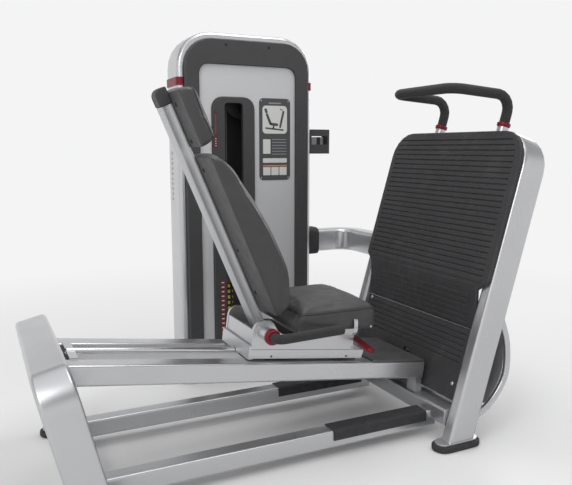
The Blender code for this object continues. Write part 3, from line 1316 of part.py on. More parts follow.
def back_rest(seat):
    half = BACK_TUBE_WIDTH / 2
    front = -GAP
    rear = front - BACK_TUBE_DEPTH
    middle = (front + rear) / 2
    deep = half - BACK_GROOVE
    section = [
        (rear, -half, 0.006), (middle - 0.010, -half, 0), (middle - 0.007, -deep, 0), (middle + 0.007, -deep, 0),
        (middle + 0.010, -half, 0), (front, -half, 0.006), (front, half, 0.006), (middle + 0.010, half, 0),
        (middle + 0.007, deep, 0), (middle - 0.007, deep, 0), (middle - 0.010, half, 0), (rear, half, 0.006),
    ]
    below = moved(block((-2, 1), (-1, 1), (-1, bracket_foot())), BACK.inverted() @ RAIL)
    add("back_tube", cut(plate(section, BACK_TUBE_FOOT, BACK_TUBE_TOP, 0, 3), below), SILVER, seat, BACK.copy())
    stations = rounded_ends(BACK_PAD_LOW, BACK_PAD_HIGH, BACK_PAD_WIDTH, back_depth, 0.022, 10)
    pad = cushion(stations, 0.014, 0.018, (0.30 * BACK_PAD_WIDTH,))
    add("back_pad", pad, UPHOLSTERY, seat, BACK.copy())
    stations = rounded_ends(HEAD_PAD_LOW, HEAD_PAD_HIGH, HEAD_PAD_WIDTH, lambda place: HEAD_PAD_DEPTH, 0.020, 5)
    add("head_pad", cushion(stations, 0.014, 0.012), UPHOLSTERY, seat, BACK.copy())
    low = BACK_TUBE_TOP + GAP
    high = BACK_TUBE_TOP + HEAD_BRACKET_HEIGHT
    profile = [(rear, low, 0.004), (front, low, 0), (front, high, 0.006), (rear, high, 0.024)]
    width = HEAD_BRACKET_WIDTH / 2
    bracket = plate(profile, -width, width, 0.003, 4, 1)
    add("head_bracket", moved(bracket, FACING_Y), DARK_PLASTIC, seat, BACK.copy())


def seat_plane():
    """Frame on the seat cushion's base, sloping down to the front."""
    return at((SEAT_FRONT + SEAT_BACK) / 2, 0, SEAT_LOW) @ Matrix.Rotation(SEAT_TILT, 4, "Y")


def seat_pad(seat):
    length = (SEAT_FRONT - SEAT_BACK) / math.cos(SEAT_TILT)

    def depth(place):
        return SEAT_THICKNESS + place * math.tan(SEAT_TILT)

    pad = cushion(rounded_ends(-length / 2, length / 2, SEAT_WIDTH, depth, 0.022, 6), 0.015, 0.014)
    pad.transform(Matrix(((0, 0, 1, 0), (0, 1, 0, 0), (1, 0, 0, 0), (0, 0, 0, 1))))
    bmesh.ops.reverse_faces(pad, faces=pad.faces)
    add("seat_pad", pad, UPHOLSTERY, seat, seat_plane())


def seat_lever(seat):
    """Paddle beside the seat, on a shaft along the rails that turns in the tray's flange."""
    frame = RAIL @ at(LEVER_X, LEVER_Y, LEVER_Z)
    axis = empty("lever_axis", frame, seat)
    blade = rectangle(LEVER_REACH, LEVER_WIDTH, 0.011, LEVER_REACH / 2 - 0.012, LEVER_WIDTH / 2)
    paddle = plate(blade, -LEVER_THICKNESS / 2, LEVER_THICKNESS / 2, 0.004, 3)
    paddle.transform(Matrix.Rotation(LEVER_DROOP, 4, "X") @ Matrix.Rotation(-math.pi / 2, 4, "Z"))
    behind = FLANGE_THICKNESS + 2 * GAP
    stem = [(0, 0.004), (LEVER_SHAFT, 0.004), (LEVER_SHAFT, -behind - GAP), (1.5 * LEVER_SHAFT, -behind - GAP),
            (1.5 * LEVER_SHAFT, -behind - 0.006), (0, -behind - 0.006)]
    shaft = moved(turned(stem, 12), Matrix.Rotation(math.pi / 2, 4, "Y"))
    add("seat_lever", joined(paddle, shaft), RED, axis, frame)


def centre_on_floor(root):
    """Moves the machine so that the middle of its footprint is the origin."""
    bpy.context.view_layer.update()
    pieces = [piece for piece in bpy.data.objects if piece.type == "MESH"]
    points = [piece.matrix_world @ point.co for piece in pieces for point in piece.data.vertices]
    low = [min(point[axis] for point in points) for axis in range(3)]
    high = [max(point[axis] for point in points) for axis in range(3)]
    root.location = (-(low[0] + high[0]) / 2, -(low[1] + high[1]) / 2, -low[2])
    bpy.context.view_layer.update()


def build():
    clear_scene()
    root = empty("machine", Matrix())
    rail = empty("rail_axis", RAIL, root)
    trolley = empty("press_axis", RAIL, root)
    seat = empty("seat_axis", RAIL, trolley)
    lift = empty("lift_axis", at(BEZEL_X, STACK_Y, STACK_LOW), root)
    pin = empty("pin_axis", at(BEZEL_X, STACK_Y, pin_height()), lift)
    for make in (rear_arch, foot_arch, floor_frame, tread_pads, foot_pads, foot_plates, grab_handle, rear_guard,
                 pulleys, link_tube, tower_frame, trim_rings, tower_front, accessory_holder, top_crossmember):
        make(root)
    rails(rail)
    cables(root, trolley, lift)
    weight_stack(root, lift, pin)
    carriage(trolley, seat)
    for make in (rollers, seat_frame, side_handle, back_rest, seat_pad, seat_lever):
        make(seat)
    centre_on_floor(root)


build()
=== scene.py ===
"""Dressed scene of a seated leg press: finishes, cushions, ropes and fittings over the solids."""

import json
import math

import bmesh
import bpy
from mathutils import Matrix, Vector
from mathutils.bvhtree import BVHTree

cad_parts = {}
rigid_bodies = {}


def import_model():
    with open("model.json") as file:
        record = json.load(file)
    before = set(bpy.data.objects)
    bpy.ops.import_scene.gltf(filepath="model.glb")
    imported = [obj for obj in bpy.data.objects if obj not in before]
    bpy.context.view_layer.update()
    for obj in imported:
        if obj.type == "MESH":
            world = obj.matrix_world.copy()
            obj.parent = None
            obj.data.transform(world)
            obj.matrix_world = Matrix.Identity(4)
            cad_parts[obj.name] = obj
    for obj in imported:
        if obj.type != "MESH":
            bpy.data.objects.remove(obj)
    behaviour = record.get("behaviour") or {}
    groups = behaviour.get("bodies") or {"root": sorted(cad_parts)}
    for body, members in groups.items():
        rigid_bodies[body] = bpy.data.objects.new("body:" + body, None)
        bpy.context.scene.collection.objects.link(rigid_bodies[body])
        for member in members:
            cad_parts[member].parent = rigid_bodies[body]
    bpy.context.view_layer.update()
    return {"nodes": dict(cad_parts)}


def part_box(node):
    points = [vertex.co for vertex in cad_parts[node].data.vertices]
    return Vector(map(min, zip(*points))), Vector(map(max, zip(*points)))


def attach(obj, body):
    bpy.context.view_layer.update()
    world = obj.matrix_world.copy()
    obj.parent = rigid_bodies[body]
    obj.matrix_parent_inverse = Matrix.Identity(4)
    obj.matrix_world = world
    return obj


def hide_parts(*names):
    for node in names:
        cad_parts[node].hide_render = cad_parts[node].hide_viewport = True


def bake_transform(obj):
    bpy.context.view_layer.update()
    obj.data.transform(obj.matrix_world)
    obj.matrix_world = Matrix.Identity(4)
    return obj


for left_over in list(bpy.data.objects):
    bpy.data.objects.remove(left_over)

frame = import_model()
NODES = frame["nodes"]

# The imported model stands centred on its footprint; the frames below are given before that shift.
SHIFT = Matrix.Translation((-0.96774, -0.2015, 0.0))


def leaning(x, z, degrees):
    """A frame on the middle plane of the rails, turned about the crosswise axis."""
    return SHIFT @ Matrix.Translation((x, 0, z)) @ Matrix.Rotation(math.radians(degrees), 4, "Y")


SEAT_TILT = 4.0
BACK = leaning(0.881, 0.462, -22.9)
SEAT = leaning(1.0925, 0.4225, SEAT_TILT)
FOOT = leaning(1.474, 0.0, 16.2)
TOWARDS_USER = (0, -1, 0)


# Materials

# Sockets of the colour mix node
MIX_FIRST, MIX_SECOND, MIX_RESULT = 6, 7, 2


class Finish:
    """A Principled material with colour, roughness and bump from nodes in object space."""

    def __init__(self, name, colour, metallic=0.0):
        self.material = bpy.data.materials.new(name)
        self.material.use_nodes = True
        self.material.diffuse_color = (*colour, 1.0)
        self.tree = self.material.node_tree
        self.shader = self.tree.nodes["Principled BSDF"]
        self.shader.inputs["Metallic"].default_value = metallic
        self.place = self.tree.nodes.new("ShaderNodeTexCoord").outputs["Object"]
        self.plain = colour
        self.colour = None
        self.normal = None

    def node(self, kind, **values):
        made = self.tree.nodes.new(kind)
        for key, value in values.items():
            setattr(made, key, value)
        return made

    def link(self, output, socket):
        self.tree.links.new(output, socket)

    def noise(self, scale, detail):
        made = self.node("ShaderNodeTexNoise")
        made.inputs["Scale"].default_value = scale
        made.inputs["Detail"].default_value = detail
        self.link(self.place, made.inputs["Vector"])
        return made.outputs["Fac"]

    def cells(self, scale, feature):
        made = self.node("ShaderNodeTexVoronoi", feature=feature)
        made.inputs["Scale"].default_value = scale
        self.link(self.place, made.inputs["Vector"])
        return made.outputs["Distance"]

    def ranged(self, value, low, high, new_low, new_high):
        made = self.node("ShaderNodeMapRange")
        limits = {"From Min": low, "From Max": high, "To Min": new_low, "To Max": new_high}
        for key, number in limits.items():
            made.inputs[key].default_value = number
        self.link(value, made.inputs["Value"])
        return made.outputs["Result"]

    def shaded(self, value, darker, lighter):
        """Colour that goes between two shades of the plain one."""
        mix = self.node("ShaderNodeMix", data_type="RGBA")
        mix.inputs[MIX_FIRST].default_value = (*(c * darker for c in self.plain), 1)
        mix.inputs[MIX_SECOND].default_value = (*(min(1, c * lighter) for c in self.plain), 1)
        self.link(value, mix.inputs["Factor"])
        self.colour = mix.outputs[MIX_RESULT]
        return self

    def covered(self, value, colour):
        """A second colour laid over the first where the value is high."""
        mix = self.node("ShaderNodeMix", data_type="RGBA")
        self.link(self.colour, mix.inputs[MIX_FIRST])
        mix.inputs[MIX_SECOND].default_value = (*colour, 1)
        self.link(value, mix.inputs["Factor"])
        self.colour = mix.outputs[MIX_RESULT]
        return self

    def drift(self, scale, darker, lighter, detail=4):
        return self.shaded(self.noise(scale, detail), darker, lighter)

    def flecks(self, scale, detail, low, high, amount, colour):
        """Specks or patches of a second colour where the noise is above a level."""
        return self.covered(self.ranged(self.noise(scale, detail), low, high, 0.0, amount), colour)

    def painted_crease_shade(self, scale, width, amount, colour):
        """Painted shade: a second, darker colour in the lines between cells, where the crease of a
        grain lies in shade.
        """
        edge = self.cells(scale, "DISTANCE_TO_EDGE")
        return self.covered(self.ranged(edge, 0.0, width, amount, 0.0), colour)

    def worn_edges(self, radius, colour, amount):
        """Edges rub to a second colour: found where a rounded normal leaves the true one."""
        rounded = self.node("ShaderNodeBevel", samples=4)
        rounded.inputs["Radius"].default_value = radius
        flat = self.node("ShaderNodeNewGeometry")
        dot = self.node("ShaderNodeVectorMath", operation="DOT_PRODUCT")
        self.link(rounded.outputs["Normal"], dot.inputs[0])
        self.link(flat.outputs["Normal"], dot.inputs[1])
        edge = self.ranged(dot.outputs["Value"], low=0.995, high=0.80, new_low=0.0, new_high=amount)
        patch = self.ranged(self.noise(60, 4), low=0.35, high=0.65, new_low=0.3, new_high=1.0)
        both = self.node("ShaderNodeMath", operation="MULTIPLY")
        self.link(edge, both.inputs[0])
        self.link(patch, both.inputs[1])
        return self.covered(both.outputs[0], colour)

    def rough(self, scale, low, high, detail=4):
        spread = self.ranged(self.noise(scale, detail), 0.3, 0.7, low, high)
        self.link(spread, self.shader.inputs["Roughness"])
        return self

    def bump(self, height, strength, depth):
        made = self.node("ShaderNodeBump")
        made.inputs["Strength"].default_value = strength
        made.inputs["Distance"].default_value = depth
        self.link(height, made.inputs["Height"])
        if self.normal:
            self.link(self.normal, made.inputs["Normal"])
        self.normal = made.outputs["Normal"]
        return self

    def grain(self, scale, strength, depth, detail=3):
        return self.bump(self.noise(scale, detail), strength, depth)

    def pebbles(self, scale, strength, depth, feature="F1"):
        return self.bump(self.cells(scale, feature), strength, depth)

    def painted_strand_shade(self, scale, distortion, darker, lighter, strength, depth):
        """A strand pattern laid round a rope: painted shade in the lines between, and a painted
        highlight on the crowns.
        """
        wave = self.node("ShaderNodeTexWave", wave_type="BANDS", bands_direction="DIAGONAL")
        wave.inputs["Scale"].default_value = scale
        wave.inputs["Distortion"].default_value = distortion
        self.link(self.place, wave.inputs["Vector"])
        self.shaded(wave.outputs["Fac"], darker, lighter)
        return self.bump(wave.outputs["Fac"], strength, depth)

    def coat(self, weight, roughness):
        self.shader.inputs["Coat Weight"].default_value = weight
        self.shader.inputs["Coat Roughness"].default_value = roughness
        return self

    def sheen(self, weight, roughness):
        self.shader.inputs["Sheen Weight"].default_value = weight
        self.shader.inputs["Sheen Roughness"].default_value = roughness
        return self

    def specular(self, level):
        self.shader.inputs["Specular IOR Level"].default_value = level
        return self

    def done(self):
        self.link(self.colour, self.shader.inputs["Base Color"])
        self.link(self.normal, self.shader.inputs["Normal"])
        return self.material


def silver_finish(name, metallic, low, high):
    """Silver lacquer over steel tube: fine flake, faint orange peel, brighter rubbed edges."""
    made = Finish(name, (0.545, 0.548, 0.56), metallic)
    made.drift(scale=5, darker=0.96, lighter=1.04)
    made.flecks(1600, detail=2, low=0.52, high=0.75, amount=0.10, colour=(0.74, 0.74, 0.76))
    made.worn_edges(radius=0.0010, colour=(0.72, 0.72, 0.74), amount=0.20)
    made.rough(scale=16, low=low, high=high)
    made.grain(scale=120, strength=0.02, depth=0.0002, detail=1)
    return made.coat(weight=0.15, roughness=0.16).done()


def panel_finish():
    """Pale grey lacquered sheet with a fine orange peel."""
    made = Finish("panel_lacquer", (0.565, 0.568, 0.578), metallic=0.25)
    made.drift(scale=4, darker=0.96, lighter=1.04)
    made.flecks(1700, detail=2, low=0.52, high=0.75, amount=0.12, colour=(0.72, 0.72, 0.74))
    made.worn_edges(radius=0.0014, colour=(0.7, 0.7, 0.72), amount=0.4)
    made.rough(scale=18, low=0.36, high=0.5, detail=5)
    return made.grain(scale=420, strength=0.06, depth=0.0003, detail=2).done()


def plastic_finish(name, shade, low, high, grain=900):
    """Moulded plastic with a spark-eroded grain and edges rubbed a little lighter."""
    made = Finish(name, (shade, shade, shade * 1.04))
    made.drift(scale=7, darker=0.88, lighter=1.12)
    made.worn_edges(radius=0.0014, colour=(shade * 2.1, shade * 2.1, shade * 2.15), amount=0.5)
    made.rough(scale=30, low=low, high=high, detail=5)
    made.grain(scale=grain, strength=0.22, depth=0.0004)
    return made.pebbles(scale=grain * 0.6, strength=0.10, depth=0.0003).done()


def rubber_finish():
    """Moulded rubber with dusty patches."""
    made = Finish("moulded_rubber", (0.026, 0.026, 0.028))
    made.drift(scale=9, darker=0.8, lighter=1.3, detail=5)
    made.flecks(45, detail=6, low=0.58, high=0.75, amount=0.35, colour=(0.075, 0.073, 0.07))
    made.rough(scale=40, low=0.66, high=0.86)
    return made.grain(scale=700, strength=0.3, depth=0.0005).done()


def mat_finish():
    """Rubber facing of the foot plates, dusty in patches and rubbed paler along its ribs."""
    made = Finish("ribbed_mat", (0.031, 0.031, 0.033))
    made.drift(scale=6, darker=0.78, lighter=1.25, detail=5)
    made.flecks(14, detail=6, low=0.56, high=0.78, amount=0.30, colour=(0.085, 0.083, 0.08))
    made.worn_edges(radius=0.0012, colour=(0.095, 0.095, 0.098), amount=0.6)
    made.rough(scale=35, low=0.52, high=0.74, detail=5)
    return made.grain(scale=850, strength=0.25, depth=0.0004).done()


def foam_finish():
    """Closed-cell foam grip: tiny pores and a soft, dry look."""
    made = Finish("grip_foam", (0.020, 0.020, 0.0212))
    made.drift(scale=15, darker=0.8, lighter=1.25)
    made.rough(scale=60, low=0.78, high=0.92)
    made.pebbles(scale=1100, strength=0.35, depth=0.0006)
    made.grain(scale=120, strength=0.12, depth=0.0006)
    return made.sheen(weight=0.06, roughness=0.6).done()


def vinyl_finish():
    """Grained dark vinyl: pebbled cells, painted shade in the crease lines between them and a slow
    drift of tone.
    """
    made = Finish("grained_vinyl", (0.044, 0.044, 0.0456))
    made.drift(scale=8, darker=0.86, lighter=1.16, detail=5)
    # Painted shade: the crease lines between the pebbles are coloured darker.
    made.painted_crease_shade(scale=620, width=0.10, amount=0.45, colour=(0.026, 0.026, 0.028))
    made.rough(scale=30, low=0.44, high=0.6, detail=5)
    made.pebbles(scale=620, strength=0.30, depth=0.0007, feature="SMOOTH_F1")
    made.grain(scale=26, strength=0.16, depth=0.003, detail=4)
    return made.sheen(weight=0.08, roughness=0.5).done()


def piping_finish():
    """Smooth vinyl cord along the seams."""
    made = Finish("vinyl_piping", (0.040, 0.040, 0.042))
    made.drift(scale=40, darker=0.8, lighter=1.2)
    made.rough(scale=60, low=0.40, high=0.56)
    return made.grain(scale=500, strength=0.3, depth=0.0005).done()


def red_finish():
    """Deep red moulded plastic."""
    made = Finish("red_plastic", (0.185, 0.005, 0.014))
    made.drift(scale=25, darker=0.85, lighter=1.15)
    made.worn_edges(radius=0.0010, colour=(0.34, 0.03, 0.04), amount=0.35)
    made.rough(scale=50, low=0.30, high=0.44)
    made.grain(scale=650, strength=0.08, depth=0.0003)
    return made.specular(0.3).done()


def chrome_finish():
    """Ground and plated rod, bright with a faint grain."""
    made = Finish("plated_rod", (0.72, 0.725, 0.735), metallic=1.0)
    made.drift(scale=30, darker=0.94, lighter=1.04)
    made.rough(scale=240, low=0.08, high=0.18, detail=3)
    return made.grain(scale=900, strength=0.03, depth=0.0002, detail=2).done()


def zinc_finish():
    """Zinc-plated fixings."""
    made = Finish("zinc_fixing", (0.58, 0.58, 0.59), metallic=1.0)
    made.drift(scale=120, darker=0.82, lighter=1.1)
    made.worn_edges(radius=0.0006, colour=(0.85, 0.85, 0.86), amount=0.5)
    made.rough(scale=300, low=0.22, high=0.42)
    return made.grain(scale=1500, strength=0.08, depth=0.0002, detail=2).done()


def black_fixing_finish():
    """Blacked steel fixings with rubbed rims."""
    made = Finish("black_fixing", (0.022, 0.022, 0.023), metallic=0.6)
    made.drift(scale=150, darker=0.8, lighter=1.3)
    made.worn_edges(radius=0.0006, colour=(0.22, 0.22, 0.22), amount=0.5)
    made.rough(scale=300, low=0.3, high=0.5)
    return made.grain(scale=1500, strength=0.08, depth=0.0002, detail=2).done()


def dark_steel_finish():
    """Dark painted steel with rubbed edges."""
    made = Finish("dark_steel", (0.140, 0.140, 0.143), metallic=0.7)
    made.drift(scale=9, darker=0.85, lighter=1.15, detail=5)
    made.worn_edges(radius=0.0014, colour=(0.4, 0.4, 0.4), amount=0.5)
    made.rough(scale=40, low=0.36, high=0.55, detail=5)
    return made.grain(scale=380, strength=0.10, depth=0.0004).done()


def weight_finish():
    """Cast plates under black paint, with a pebbled casting skin and rubbed edges."""
    made = Finish("cast_weight", (0.020, 0.020, 0.021), metallic=0.1)
    made.drift(scale=14, darker=0.8, lighter=1.35, detail=5)
    made.worn_edges(radius=0.0014, colour=(0.16, 0.155, 0.15), amount=0.7)
    made.rough(scale=60, low=0.42, high=0.66, detail=5)
    return made.grain(scale=330, strength=0.30, depth=0.0007, detail=4).done()


def cable_finish():
    """Steel rope, with painted shade between each strand and a painted highlight on its crown."""
    made = Finish("wire_rope", (0.34, 0.34, 0.35), metallic=0.9)
    # Painted shade and highlight: 0.35 of the plain colour between each strand, 1.3 of it on the
    # crowns.
    made.painted_strand_shade(190, distortion=0.4, darker=0.35, lighter=1.3, strength=0.6, depth=0.0006)
    return made.rough(scale=200, low=0.28, high=0.5, detail=3).done()


def print_finish(name, colour):
    """Printed film: flat ink with a fine grain."""
    made = Finish(name, colour)
    made.drift(scale=90, darker=0.93, lighter=1.05, detail=5)
    made.rough(scale=45, low=0.37, high=0.57, detail=5)
    return made.grain(scale=1400, strength=0.05, depth=0.0002, detail=2).done()


SILVER = silver_finish("silver_lacquer", metallic=0.86, low=0.27, high=0.35)
SATIN_SILVER = silver_finish("satin_silver", metallic=0.55, low=0.48, high=0.58)
PANEL = panel_finish()
PLASTIC = plastic_finish("grained_plastic", shade=0.042, low=0.48, high=0.64)
SMOOTH_PLASTIC = plastic_finish("sheave_plastic", shade=0.030, low=0.38, high=0.52, grain=1300)
GREY_SHEET = plastic_finish("painted_sheet", shade=0.40, low=0.40, high=0.56, grain=1400)
RUBBER = rubber_finish()
MAT = mat_finish()
FOAM = foam_finish()
VINYL = vinyl_finish()
PIPING = piping_finish()
RED = red_finish()
CHROME = chrome_finish()
ZINC = zinc_finish()
BLACK_FIXING = black_fixing_finish()
DARK_STEEL = dark_steel_finish()
WEIGHT = weight_finish()
CABLE = cable_finish()
INK_DARK = print_finish("placard_dark", (0.060, 0.062, 0.066))
INK_PALE = print_finish("placard_pale", (0.62, 0.62, 0.60))
INK_GREY = print_finish("placard_grey", (0.26, 0.265, 0.27))
INK_AMBER = print_finish("placard_amber", (0.55, 0.22, 0.06))
INK_YELLOW = print_finish("number_yellow", (0.85, 0.68, 0.07))
INK_RED = print_finish("scale_red", (0.17, 0.010, 0.018))
INK_MAROON = print_finish("strip_maroon", (0.085, 0.010, 0.013))


# Edges and shading of the solids

WELD_DISTANCE = 2e-5
FLAT_ANGLE = math.radians(0.4)
EDGE_ANGLE = math.radians(50)
BEVEL_SEGMENTS = 2


def geometry_group(name):
    """An empty group of geometry nodes, with its input and output nodes."""
    group = bpy.data.node_groups.new(name, "GeometryNodeTree")
    for way in ("INPUT", "OUTPUT"):
        group.interface.new_socket("Geometry", in_out=way, socket_type="NodeSocketGeometry")
    return group, group.nodes.new("NodeGroupInput"), group.nodes.new("NodeGroupOutput")


def weld_group():
    """Drops stored normals and joins the corners that facets share."""
    group, source, sink = geometry_group("weld")
    plain = group.nodes.new("GeometryNodeRemoveAttribute")
    plain.inputs["Name"].default_value = "custom_normal"
    merge = group.nodes.new("GeometryNodeMergeByDistance")
    merge.inputs["Distance"].default_value = WELD_DISTANCE
    group.links.new(source.outputs[0], plain.inputs["Geometry"])
    group.links.new(plain.outputs[0], merge.inputs["Geometry"])
    group.links.new(merge.outputs[0], sink.inputs[0])
    return group


def shade_group():
    """Smooth shading, except across edges steeper than the limit."""
    group, source, sink = geometry_group("shade")
    smooth = group.nodes.new("GeometryNodeSetShadeSmooth")
    smooth.domain = "FACE"
    sharp = group.nodes.new("GeometryNodeSetShadeSmooth")
    sharp.domain = "EDGE"
    sharp.inputs["Shade Smooth"].default_value = False
    angle = group.nodes.new("GeometryNodeInputMeshEdgeAngle")
    steep = group.nodes.new("FunctionNodeCompare")
    steep.data_type = "FLOAT"
    steep.operation = "GREATER_THAN"
    steep.inputs[1].default_value = EDGE_ANGLE
    group.links.new(source.outputs[0], smooth.inputs["Geometry"])
    group.links.new(smooth.outputs[0], sharp.inputs["Geometry"])
    group.links.new(angle.outputs["Unsigned Angle"], steep.inputs[0])
    group.links.new(steep.outputs[0], sharp.inputs["Selection"])
    group.links.new(sharp.outputs[0], sink.inputs[0])
    return group


WELD = weld_group()
SHADE = shade_group()


def soften(piece, bevel, weld):
    """Welds facets if asked, rounds the edges by the bevel and shades the curves smooth."""
    if weld:
        piece.modifiers.new("weld", "NODES").node_group = WELD
        flat = piece.modifiers.new("flat", "DECIMATE")
        flat.decimate_type = "DISSOLVE"
        flat.angle_limit = FLAT_ANGLE
    if bevel:
        edge = piece.modifiers.new("edge", "BEVEL")
        edge.width = bevel
        edge.segments = BEVEL_SEGMENTS
        edge.limit_method = "ANGLE"
        edge.angle_limit = EDGE_ANGLE
        edge.use_clamp_overlap = True
    piece.modifiers.new("shade", "NODES").node_group = SHADE
    even = piece.modifiers.new("even", "WEIGHTED_NORMAL")
    even.keep_sharp = True


def refine(piece):
    """One level of subdivision."""
    finer = piece.modifiers.new("finer", "SUBSURF")
    finer.levels = 1
    finer.render_levels = 1


# Finish, bevel and the solids that have them
DRESSING = (
    (SILVER, 0.0012, "rear_arch foot_arch floor_frame rail_frame rear_guard tower_frame"),
    (SILVER, 0.0010, "carriage_base seat_frame"),
    (SILVER, 0.0, "link_tube"),
    (SATIN_SILVER, 0.0012, "back_tube"),
    (SATIN_SILVER, 0.0008, "rear_pulley_cover"),
    (PANEL, 0.0010, "front_panel"),
    (PLASTIC, 0.0016, "front_shroud slot_bezel rear_cover"),
    (PLASTIC, 0.0030, "accessory_holder"),
    (PLASTIC, 0.0060, "head_bracket"),
    (SMOOTH_PLASTIC, 0.0008, "front_bush rear_bush front_rollers rear_rollers"),
    (SMOOTH_PLASTIC, 0.0006, "rail_pulley arch_pulley link_pulley tower_pulley top_pulley"),
    (MAT, 0.0006, "foot_plate_upper foot_plate_lower"),
    (RUBBER, 0.0012, "tread_pad_far tread_pad_near link_boot tower_plinth"),
    (RUBBER, 0.0012, "foot_pad_front_far foot_pad_front_near foot_pad_rear_far foot_pad_rear_near"),
    (FOAM, 0.0012, "grab_handle handle_grip"),
    (RED, 0.0008, "handle_collar_far handle_collar_near handle_ring seat_lever selector_pin"),
    (RED, 0.0008, "trim_ring_left trim_ring_right"),
    (CHROME, 0.0006, "guide_rod stack_rod_left stack_rod_right"),
    (DARK_STEEL, 0.0010, "deck_plate drive_trolley head_plate top_crossmember"),
    (WEIGHT, 0.0010, "weight_stack"),
    (CABLE, 0.0, "main_cable"),
)
for finish, edge_bevel, names in DRESSING:
    for node in names.split():
        solid = NODES[node]
        solid.data.materials.clear()
        solid.data.materials.append(finish)
        soften(solid, edge_bevel, weld=True)


# Building blocks for new pieces

SCREW_SIDES = 24
# Radius and height of each ring of a screw's dome, as shares of the head's own
SCREW_DOME = ((0.96, 0.0), (1.0, 0.15), (0.95, 0.45), (0.8, 0.78), (0.58, 1.0))
SOCKET_RADIUS = 0.45
SOCKET_DEPTH = 0.6
HEXAGON_STEP = math.pi / 3


def placed(name, shape):
    """An object from a shape, which is used up."""
    mesh = bpy.data.meshes.new(name)
    shape.to_mesh(mesh)
    shape.free()
    made = bpy.data.objects.new(name, mesh)
    bpy.context.scene.collection.objects.link(made)
    return made


def new_piece(name, shape, material, body, bevel=0.0):
    """A new piece in the row frame; it rides on a body, unless that is left for the caller."""
    bmesh.ops.recalc_face_normals(shape, faces=shape.faces)
    piece = placed(name, shape)
    piece.data.materials.append(material)
    soften(piece, bevel, weld=False)
    if body:
        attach(piece, body)
    return piece


def rounded_outline(width, height, radius, steps=6):
    """Points of a rounded rectangle about the origin, anticlockwise."""
    points = []
    for corner in range(4):
        x = (width / 2 - radius) * (1 if corner in (0, 3) else -1)
        y = (height / 2 - radius) * (1 if corner in (0, 1) else -1)
        for step in range(steps + 1):
            angle = math.pi / 2 * (corner + step / steps)
            points.append((x + radius * math.cos(angle), y + radius * math.sin(angle)))
    return points


def facing(point, normal):
    """A frame at a point whose Z axis is the normal."""
    return Matrix.Translation(point) @ Vector(normal).to_track_quat("Z", "Y").to_matrix().to_4x4()


def upright(x, y, z):
    """A frame on a front face: X to the right, Y up, Z out towards the user."""
    return Matrix.Translation((x, y, z)) @ Matrix.Rotation(math.radians(90), 4, "X")


def skin(shape, rings, closed=False):
    """Walls between rings of points in turn; the ends meet, or each has a cap."""
    pairs = list(zip(rings, rings[1:]))
    if closed:
        pairs.append((rings[-1], rings[0]))
    for low, high in pairs:
        for i in range(len(low)):
            j = (i + 1) % len(low)
            shape.faces.new((low[i], low[j], high[j], high[i]))
    if not closed:
        shape.faces.new(rings[0][::-1])
        shape.faces.new(rings[-1])


def add_plate(shape, points, low, high, place):
    """A flat plate over an outline in the place's XY plane."""
    skin(shape, [
        [shape.verts.new(place @ Vector((x, y, level))) for x, y in points]
        for level in (low, high)
    ])


def add_screw(shape, radius, height, place):
    """A domed screw head with a hexagon socket."""
    angles = [2 * math.pi * side / SCREW_SIDES for side in range(SCREW_SIDES)]
    rounds = [([radius * across] * SCREW_SIDES, height * up) for across, up in SCREW_DOME]
    half = HEXAGON_STEP / 2
    inner = radius * SOCKET_RADIUS * math.cos(half)
    hexagon = [inner / math.cos((angle + half) % HEXAGON_STEP - half) for angle in angles]
    rounds += [(hexagon, height), (hexagon, height - height * SOCKET_DEPTH)]
    rings = []
    for reaches, level in rounds:
        ring = []
        for reach, angle in zip(reaches, angles):
            point = Vector((reach * math.cos(angle), reach * math.sin(angle), level))
            ring.append(shape.verts.new(place @ point))
        rings.append(ring)
    skin(shape, rings)


def screws(name, places, radius, height, material, body):
    """Socket-head screws at (point, normal) places, all in one piece."""
    shape = bmesh.new()
    for point, normal in places:
        add_screw(shape, radius, height, facing(point, normal))
    return new_piece(name, shape, material, body)


def add_tube(shape, path, radius, sides, closed=False):
    """A round cord along a path of points."""
    count = len(path)
    rings = []
    across = None
    for i, point in enumerate(path):
        before = path[i - 1] if i or closed else path[0]
        after = path[(i + 1) % count] if i + 1 < count or closed else path[-1]
        along = (after - before).normalized()
        if across is None:
            across = along.orthogonal().normalized()
        across = (across - along * across.dot(along)).normalized()
        other = along.cross(across)
        ring = []
        for side in range(sides):
            angle = 2 * math.pi * side / sides
            spoke = math.cos(angle) * across + math.sin(angle) * other
            ring.append(shape.verts.new(point + radius * spoke))
        rings.append(ring)
    skin(shape, rings, closed)


# Cushions

VOXEL = 0.005
SHRINK = 0.004
FRONT_FROM = 0.01
HELD_BELOW = 0.004
SWELL_CAP = 0.007
SIM_FRAMES = 20
CLOTH = {
    "use_pressure": True,
    "uniform_pressure_force": 4.0,
    "quality": 5,
    "mass": 0.3,
    "tension_stiffness": 25,
    "compression_stiffness": 25,
    "shear_stiffness": 12,
    "bending_stiffness": 1.5,
    "vertex_group_mass": "held",
}
SMOOTH_TURNS = 4
SMOOTH_ABOVE = 0.006
SEAM_OUTSET = 0.01
SEAM_CORNER = 0.028
SEAM_STEP = 0.006
SEAM_WIDTH = 0.004
SEAM_DEPTH = 0.0022
PIPING_RADIUS = 0.0016
PIPING_SIDES = 8

# Frames in which a cushion's depth is along X and its length along Z
UPRIGHT = Matrix.Identity(4)
LAID = Matrix(((0, 0, 1, 0), (0, 1, 0, 0), (-1, 0, 0, 0), (0, 0, 0, 1)))


def local_copy(node, place):
    """The cushion's solid in its own frame, welded, with its normals outward."""
    shape = bmesh.new()
    shape.from_mesh(NODES[node].data)
    shape.transform(place.inverted())
    bmesh.ops.remove_doubles(shape, verts=shape.verts, dist=WELD_DISTANCE)
    bmesh.ops.recalc_face_normals(shape, faces=shape.faces)
    return shape


